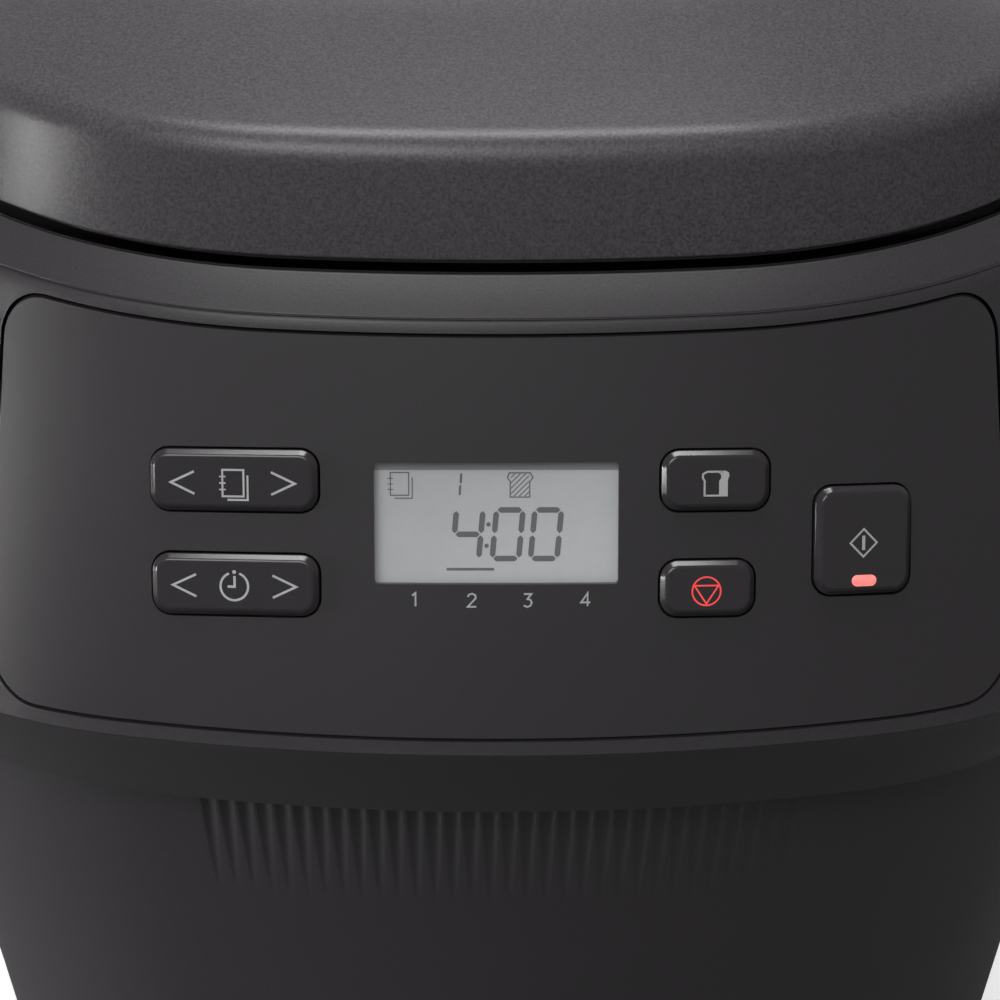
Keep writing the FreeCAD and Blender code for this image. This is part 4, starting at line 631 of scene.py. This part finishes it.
# Keys. Five moulded caps that stand a little proud of the panel, with a bevel round their edges.
# The two long ones rock on a pin, and the three others are pressed. The start key's stem is a
# little short, so that it stops clear of its switch.
KEY_PROUD = 1.1
CAP_FOOT = -0.6
STEM_ROOM = 0.12
STEM_END = 0.05
KEY_SIDE = [(0, CAP_FOOT), (0, -0.05), (0.04, 0.08), (0.12, 0.18), (0.16, 0.22)]
KEY_SIDE += [(0.80, 0.86), (0.84, 0.90), (0.98, 1.0), (1.25, 1.09), (1.5, KEY_PROUD)]
key_plastic = moulded(
    "key_plastic", (0.0255, 0.0228, 0.0255), roughness=0.18, grain=3600.0, depth=0.000006, speckle=1.1
)
for name, (x, up, width, height) in KEYS.items():
    place = stand(x, up)
    bm = merged(name, 1000)
    bmesh.ops.transform(bm, matrix=place.inverted(), verts=bm.verts)
    if name == "start_key":
        stem_foot = min(vert.co.z for vert in bm.verts)
        stem_end = [vert for vert in bm.verts if vert.co.z < stem_foot + STEM_END]
        bmesh.ops.translate(bm, vec=(0, 0, STEM_ROOM), verts=stem_end)
    everything = bm.verts[:] + bm.edges[:] + bm.faces[:]
    bmesh.ops.bisect_plane(
        bm, geom=everything, plane_co=(0, 0, CAP_FOOT), plane_no=(0, 0, 1), clear_outer=True
    )
    rings = []
    for drawn, level in KEY_SIDE:
        loop = plan_loop(width - 2 * drawn, height - 2 * drawn, KEY_CORNER - drawn, 12)
        rings.append([Vector((*spot, level)) for spot in loop])
    cap_ring(bm, skin(bm, rings))
    bmesh.ops.recalc_face_normals(bm, faces=bm.faces)
    bmesh.ops.transform(bm, matrix=place, verts=bm.verts)
    seat(to_object(name + "_cap", bm), key_plastic, name, degrees=40)

# Marks on the keys. Printed pictograms in pale grey: arrows with a notebook, arrows with a clock,
# a loaf and a diamond. The stop key's ring and triangle are red and lit from behind.
INK_LIFT = 0.012
FINE_LINE = 0.30
LINE = 0.36
BOLD_LINE = 0.42
LOAF_SIDE = [(-2.2, -2.85), (-2.2, 0.0), (-2.55, 0.6), (-2.5, 1.3), (-1.7, 1.72), (1.2, 1.72)]
LOAF_CRUST = [(0.5, -2.87), (0.5, 0.0), (0.85, 0.5), (0.85, 1.1), (0.35, 1.55), (0.9, 1.89)]
LOAF_CRUST += [(1.7, 1.89), (2.3, 1.5), (2.4, 0.9), (2.1, 0.2), (2.1, -2.87)]


def coloured(name, dark, light, roughness, grain, detail=2.0, glow=None, strength=0.0):
    """A flat, nearly even colour, as of ink, a lens or a display, which may glow."""
    material, tree, shader = new_material(name)
    tint(tree, noise(tree, grain, detail), dark, light, shader.inputs["Base Color"])
    shader.inputs["Roughness"].default_value = roughness
    if glow:
        shader.inputs["Emission Color"].default_value = (*glow, 1)
        shader.inputs["Emission Strength"].default_value = strength
    return material


def stroke(bm, spots, width, closed=False):
    """A flat ribbon along a line, mitred at its bends."""
    spots = [Vector(p) for p in spots]
    count = len(spots)
    sides = []
    for i, spot in enumerate(spots):
        along = []
        if closed or i > 0:
            along.append((spot - spots[i - 1]).normalized())
        if closed or i < count - 1:
            along.append((spots[(i + 1) % count] - spot).normalized())
        normals = [Vector((-d.y, d.x)) for d in along]
        middle = sum(normals, Vector((0, 0))).normalized()
        reach = width / 2 / max(0.35, middle.dot(normals[0]))
        sides.append([bm.verts.new((*(spot + middle * side * reach), 0)) for side in (1, -1)])
    following = sides[1:] + sides[:1] if closed else sides[1:]
    for (a, b), (c, d) in zip(sides, following):
        bm.faces.new((a, b, d, c))


def patch(bm, spots):
    """A filled flat shape."""
    bm.faces.new([bm.verts.new((x, y, 0)) for x, y in spots])


def arc(x, y, radius, first=0, last=360, steps=40):
    """Points along an arc, between two angles in degrees."""
    turns = np.radians(np.linspace(first, last, steps + 1))
    return [(x + radius * math.cos(a), y + radius * math.sin(a)) for a in turns]


def dot(bm, x, y, radius):
    """A filled round spot."""
    patch(bm, arc(x, y, radius, steps=16)[:-1])


def notebook(bm, x, y, size, width):
    """A ring-bound notebook with a second page behind it."""
    cover = [(-2.0, 2.3), (1.95, 2.3), (1.95, -2.6), (-2.0, -2.6)]
    stroke(bm, [(x + a * size, y + b * size) for a, b in cover], width, True)
    page = [(-1.1, -3.25), (2.7, -3.25), (2.7, 1.3)]
    stroke(bm, [(x + a * size, y + b * size) for a, b in page], width)
    for level in (1.05, -0.15, -1.35):
        stroke(bm, [(x - 2.6 * size, y + level * size), (x - 1.4 * size, y + level * size)], width * 0.8)


def arrows(bm, level):
    """An arrow head at each end of a rocking key."""
    for side in (-1, 1):
        stroke(bm, [(side * 7.2, level + 2.05), (side * 11.6, level), (side * 7.2, level - 2.1)], BOLD_LINE)


def face_out(bm):
    """Turns flat shapes to face out of their sheet."""
    for face in bm.faces:
        face.normal_update()
        if face.normal.z < 0:
            face.normal_flip()


def lay(name, bm, level, place, material, body):
    """Lays flat shapes at a level over a place, and fixes them on a body."""
    face_out(bm)
    bmesh.ops.translate(bm, vec=(0, 0, level), verts=bm.verts)
    bmesh.ops.transform(bm, matrix=place, verts=bm.verts)
    seat(to_object(name, bm), material, body=body)


pale_ink = coloured("pale_ink", (0.44, 0.44, 0.45), (0.52, 0.52, 0.53), roughness=0.5, grain=4000.0)
red_ink = coloured(
    "red_ink",
    (0.55, 0.02, 0.02),
    (0.70, 0.04, 0.04),
    roughness=0.4,
    grain=4000.0,
    glow=(1.0, 0.10, 0.10),
    strength=0.55,
)
marks = {name: bmesh.new() for name in KEYS}
arrows(marks["program_key"], -0.4)
notebook(marks["program_key"], 0.1, -0.3, 1.0, LINE)
clock = marks["timer_key"]
arrows(clock, -0.1)
stroke(clock, arc(0, -0.2, 2.6, 112, 428), BOLD_LINE)
stroke(clock, [(0.05, 1.75), (0.05, -0.25), (-1.25, -0.25)], 0.45)
dot(clock, 0, 2.5, 0.36)
loaf = marks["size_key"]
stroke(loaf, LOAF_SIDE, LINE)
stroke(loaf, [(0.5, -2.7), (-2.2, -2.7)], 0.34)
patch(loaf, LOAF_CRUST)
halt = marks["stop_key"]
stroke(halt, arc(-0.3, -0.4, 2.65)[:-1], FINE_LINE, True)
stroke(halt, [(-2.55, 0.65), (1.95, 0.65), (-0.3, -2.75)], FINE_LINE, True)
diamond = marks["start_key"]
stroke(diamond, [(2.4, -0.4), (-0.2, 2.2), (-2.8, -0.4), (-0.2, -3.0)], LINE, True)
stroke(diamond, [(-0.2, 0.95), (-0.2, -1.75)], 0.6)
for name, bm in marks.items():
    x, up, width, height = KEYS[name]
    ink = red_ink if name == "stop_key" else pale_ink
    lay(name + "_mark", bm, KEY_PROUD + INK_LIFT, stand(x, up), ink, BODY_OF[name])

# Start lamp. A small red lens of clear plastic let into the lower part of the start key and lit
# from behind while the machine runs.
lamp_red = coloured(
    "lamp_red",
    (0.80, 0.20, 0.18),
    (0.90, 0.30, 0.27),
    roughness=0.3,
    grain=900.0,
    glow=(1.0, 0.24, 0.22),
    strength=0.6,
)
finish("start_lamp", lamp_red, 0.15)

# Display. A pale liquid-crystal glass behind a clear window. Along its top is a painted shadow: a mid-grey
# strip standing in for the shade that the window's upper edge casts on the glass. It has dark segments: a
# clock figure, a programme figure, a notebook, a cut slice and a bar for the stage. Its module stands
# behind the panel.
GLASS = -3.25
FACE_LIFT, WINDOW_SHADOW_LIFT, SEGMENT_LIFT = 0.05, 0.065, 0.07
FACE_LOOP = dict(width=47.4, depth=25, corner=0.6, steps=3)
WINDOW_SHADOW_LOOP = [(-23.2, 9.55), (23.2, 9.55), (23.2, 12.2), (-23.2, 12.2)]
DIGIT_WIDTH, DIGIT_HEIGHT = 4.9, 9.1
DIGIT_FOOT = -7.0
DIGIT_SLANT = 0.09
DIGIT_BAR = 1.05
SMALL_BAR = 0.42
BAR_GAP = 0.18
BARS = {
    "top": ((0, 1), (1, 1)),
    "mid": ((0, 0.5), (1, 0.5)),
    "low": ((0, 0), (1, 0)),
    "ul": ((0, 0.5), (0, 1)),
    "ur": ((1, 0.5), (1, 1)),
    "ll": ((0, 0), (0, 0.5)),
    "lr": ((1, 0), (1, 0.5)),
}
FIGURES = {"0": "top low ul ur ll lr", "4": "mid ul ur lr"}
SLICE = [(2.6, 4.5), (2.6, 7.4), (2.1, 8.1), (2.4, 9.0), (6.3, 9.0), (6.8, 8.1), (6.2, 7.4), (6.2, 4.5)]
HATCH_LEFT, HATCH_RIGHT, HATCH_LOW, HATCH_HIGH = 2.75, 6.05, 4.65, 8.85


def segment(bm, start, end, width):
    """One bar of a figure, pointed at both ends."""
    start, end = Vector(start), Vector(end)
    along = (end - start).normalized()
    side = Vector((-along.y, along.x)) * width / 2
    start, end = start + along * BAR_GAP, end - along * BAR_GAP
    tip = along * width / 2
    patch(bm, [start, start + tip - side, end - tip - side, end, end - tip + side, start + tip + side])


def figure(bm, text, x):
    """A slanted figure made of bars."""
    for part in FIGURES[text].split():
        spots = [
            (x + a * DIGIT_WIDTH + DIGIT_SLANT * b * DIGIT_HEIGHT, DIGIT_FOOT + b * DIGIT_HEIGHT)
            for a, b in BARS[part]
        ]
        segment(bm, *spots, DIGIT_BAR)


crystal = coloured(
    "crystal_grey", (0.54, 0.554, 0.578), (0.56, 0.574, 0.598), roughness=0.45, grain=500.0, detail=3.0
)
segment_ink = coloured(
    "segment_ink", (0.060, 0.064, 0.069), (0.070, 0.074, 0.080), roughness=0.5, grain=3000.0
)
# Painted shadow: a mid-grey colour for the strip that stands in for the window edge's shade on the glass.
window_shadow_paint = coloured("painted_window_shadow", (0.20, 0.20, 0.206), (0.21, 0.21, 0.216), roughness=0.45, grain=900.0)
bm = bmesh.new()
patch(bm, plan_loop(**FACE_LOOP))
lay("display_face", bm, GLASS + FACE_LIFT, WINDOW, crystal, "housing")
# The painted shadow of the window's upper edge, laid as a flat strip along the top of the glass.
bm = bmesh.new()
patch(bm, WINDOW_SHADOW_LOOP)
lay("display_painted_shadow", bm, GLASS + WINDOW_SHADOW_LIFT, WINDOW, window_shadow_paint, "housing")
bm = bmesh.new()
for text, x in zip("400", (-8.15, -0.75, 6.35)):
    figure(bm, text, x)
dot(bm, -1.42, -0.6, 0.42)
dot(bm, -1.78, -4.6, 0.42)
segment(bm, (-6.75, 4.6), (-6.6, 7.0), SMALL_BAR)
segment(bm, (-6.55, 6.8), (-6.4, 9.2), SMALL_BAR)
notebook(bm, -17.8, 7.1, 0.86, 0.22)
stroke(bm, [(-9.2, -9.0), (-0.4, -9.0)], 0.5)
stroke(bm, SLICE, 0.24, True)
for k in range(7):
    rise = k - 0.6
    first, last = max(HATCH_LEFT, HATCH_LOW - rise), min(HATCH_RIGHT, HATCH_HIGH - rise)
    stroke(bm, [(first, first + rise), (last, last + rise)], 0.2)
lay("display_segments", bm, GLASS + SEGMENT_LIFT, WINDOW, segment_ink, "housing")
clear, tree, shader = new_material("clear_window")
vary(tree, noise(tree, 60.0), 0.03, 0.07, shader.inputs["Roughness"])
shader.inputs["Base Color"].default_value = (1, 1, 1, 1)
shader.inputs["Alpha"].default_value = 0.05
finish("display_window", clear)
finish("display_module", crystal)

# Stage numerals. Four plain figures printed in pale ink on the panel under the display, one for
# each stage of a bake. They follow the panel's bow and lie just clear of it.
NUMERALS = {
    "1": [(-0.5, 0.75), (0.1, 1.25), (0.1, -1.25)],
    "2": [(-0.75, 0.65), (-0.5, 1.1), (0.1, 1.25), (0.65, 0.95), (0.7, 0.4), (-0.75, -1.2), (0.8, -1.2)],
    "3": [(-0.7, 1.2), (0.7, 1.2), (-0.05, 0.25), (0.5, 0.1), (0.75, -0.45), (0.5, -1.0)],
    "4": [(0.35, -1.25), (0.35, 1.2), (-0.85, -0.55), (0.85, -0.55)],
}
NUMERALS["3"] += [(-0.05, -1.25), (-0.75, -0.95)]
NUMERAL_PLACES = (-15.7, -5.2, 5.1, 15.8)
NUMERAL_ROW = -11.1
PRINT_LIFT = Vector((0, -0.015, 0.006))
bm = bmesh.new()
for text, x in zip(NUMERALS, NUMERAL_PLACES):
    stroke(bm, [(x + a, NUMERAL_ROW + b) for a, b in NUMERALS[text]], 0.32)
face_out(bm)
for vert in bm.verts:
    x, z = vert.co.x, HALF_WAY["z"] + math.cos(LEAN) * vert.co.y
    vert.co = Vector((x, front_y(x, z), z)) + PRINT_LIFT
seat(to_object("stage_numerals", bm), pale_ink, body="housing")

# Base, feet and gland. A moulded tray closes the casing from below, held by four screws, and
# stands on four rubber feet. A rubber gland in the back wall is there for the cord.
rubber = moulded("black_rubber", (0.018, 0.018, 0.018), roughness=0.75, grain=1800.0, depth=0.00004)
finish("base_plate", casing_plastic, 0.4)
finish("feet", rubber, 0.6)
finish("cord_gland", rubber, 0.4)
finish("base_screws", steel, 0.12)

# Boards and switches. Two boards of green laminate: one on posts behind the panel, held by screws
# and with the keys' switches on it, and one for the power.
board_green = moulded(
    "board_laminate", (0.03, 0.10, 0.045), roughness=0.45, grain=700.0, depth=0.00002, speckle=1.15
)
switch_black = moulded("switch_plastic", (0.03, 0.03, 0.03), roughness=0.4, grain=1500.0, depth=0.00002)
finish("control_board", board_green)
finish("power_board", board_green)
finish("key_switches", switch_black)
finish("board_screws", steel)

# Oven. A liner folded from bright sheet hangs from the deck by its flange. Steel clips hold a
# sheathed heater in it, a steel sensor reads its heat, and a die-cast seat in its floor takes
# the pan.
sheet = metal("bright_sheet", (0.58, 0.58, 0.57), roughness=0.30, stretch=(1, 1, 6))
element = metal("heater_sheath", (0.20, 0.19, 0.18), roughness=0.42)
die_cast = metal("die_cast_alloy", (0.50, 0.50, 0.49), roughness=0.45)
finish("oven_liner", sheet)
finish("heating_element", element)
finish("heater_clips", steel)
finish("temperature_sensor", steel)
finish("pan_seat", die_cast)

# Pan and kneading blade. A pan with a dark non-stick coat on a die-cast base, with a wire handle
# on two studs. The blade sits on a spindle that runs in a bronze bush with a rubber seal.
bronze = metal("bearing_bronze", (0.55, 0.36, 0.18), roughness=0.35)
non_stick = moulded(
    "non_stick_coat", (0.035, 0.034, 0.033), roughness=0.38, grain=1200.0, depth=0.00004, speckle=1.4
)
finish("bread_pan", non_stick)
finish("pan_base", die_cast)
finish("handle_studs", steel)
finish("pan_handle", steel)
finish("shaft_bush", bronze)
finish("shaft_seal", rubber)
finish("kneading_shaft", steel)
finish("pan_coupling", die_cast)
finish("kneading_blade", non_stick)

# Drive. A motor on a steel chassis turns the pan's coupling through a rubber belt and two nylon
# pulleys. The shaft under the pan runs in a bronze bearing, and a fan on the motor's cools it.
nylon = moulded("pale_nylon", (0.55, 0.54, 0.50), roughness=0.5, grain=1400.0, depth=0.00003, speckle=1.05)
motor_paint = moulded(
    "motor_steel", (0.22, 0.22, 0.22), roughness=0.4, grain=900.0, depth=0.00002, speckle=1.1
)
finish("chassis", steel)
finish("drive_bearing", bronze)
finish("drive_shaft", steel)
finish("drive_pulley", nylon)
finish("drive_coupling", die_cast)
finish("drive_belt", rubber)
finish("motor", motor_paint)
finish("motor_shaft", steel)
finish("motor_pulley", nylon)
finish("cooling_fan", nylon)

# Lid lining. A moulded plate closes the lid from below, held by four screws. It carries a liner
# of bright sheet and a rubber seal.
finish("lid_base", casing_plastic)
finish("lid_liner", sheet)
finish("lid_seal", rubber)
finish("lid_screws", steel)

# Light. Two wide soft lights, overhead and in front, weak ones behind and from the left, and a
# low fill for the back. The floor and backdrop are plain and pale, and look brighter to the
# camera than they are as light on the machine.
FLOOR_REACH = 20.0
FLOOR_SHADE, FLOOR_PALE = (0.16, 0.16, 0.16), (0.85, 0.85, 0.85)
FLOOR_DARK, FLOOR_GLOW = (0, 0, 0), (0.5, 0.5, 0.5)
BACKDROP_LIGHT, BACKDROP_SEEN = 0.31, 1.0


def soft_light(name, place, aim, width, depth, power, spread=180):
    """A rectangular soft box, in metres and watts."""
    data = bpy.data.lights.new(name, "AREA")
    data.shape = "RECTANGLE"
    data.size = width
    data.size_y = depth
    data.energy = power
    data.spread = math.radians(spread)
    light = bpy.data.objects.new(name, data)
    light.location = place
    light.rotation_euler = (Vector(aim) - Vector(place)).to_track_quat("-Z", "Y").to_euler()
    scene.collection.objects.link(light)


bm = bmesh.new()
bmesh.ops.create_grid(bm, x_segments=1, y_segments=1, size=FLOOR_REACH)
floor = to_object("floor", bm, 1.0)
pale_floor, tree, shader = new_material("pale_floor")
vary(tree, noise(tree, 3.0), 0.7, 0.75, shader.inputs["Roughness"])
seen = tree.nodes.new("ShaderNodeLightPath").outputs["Is Camera Ray"]
tint(tree, seen, FLOOR_SHADE, FLOOR_PALE, shader.inputs["Base Color"], 0.0, 1.0)
tint(tree, seen, FLOOR_DARK, FLOOR_GLOW, shader.inputs["Emission Color"], 0.0, 1.0)
shader.inputs["Emission Strength"].default_value = 1.0
floor.data.materials.append(pale_floor)
soft_light("overhead", (-0.05, 0.10, 1.35), (0, -0.15, 0.32), width=0.62, depth=0.26, power=5.8)
soft_light("front", (-0.45, -1.25, 1.60), (0, -0.15, 0.25), width=1.0, depth=0.7, power=12)
soft_light("behind", (-0.1, 1.5, 1.5), (0, 0.0, 0.34), width=0.8, depth=0.4, power=1)
soft_light("back_fill", (0.5, 1.8, 0.35), (0, 0.0, 0.2), width=1.4, depth=0.5, power=9)
soft_light(
    "left_side", (-1.35, -0.36, 0.28), (0, -0.17, 0.10), width=0.30, depth=0.16, power=0.42, spread=24
)
world = bpy.data.worlds.new("studio")
world.use_nodes = True
tree = world.node_tree
backdrop = tree.nodes["Background"]
backdrop.inputs["Color"].default_value = (1, 1, 1, 1)
seen = tree.nodes.new("ShaderNodeLightPath").outputs["Is Camera Ray"]
spread = tree.nodes.new("ShaderNodeMapRange")
spread.inputs["To Min"].default_value = BACKDROP_LIGHT
spread.inputs["To Max"].default_value = BACKDROP_SEEN
tree.links.new(seen, spread.inputs["Value"])
tree.links.new(spread.outputs["Result"], backdrop.inputs["Strength"])
scene.world = world
scene.view_settings.view_transform = "Standard"
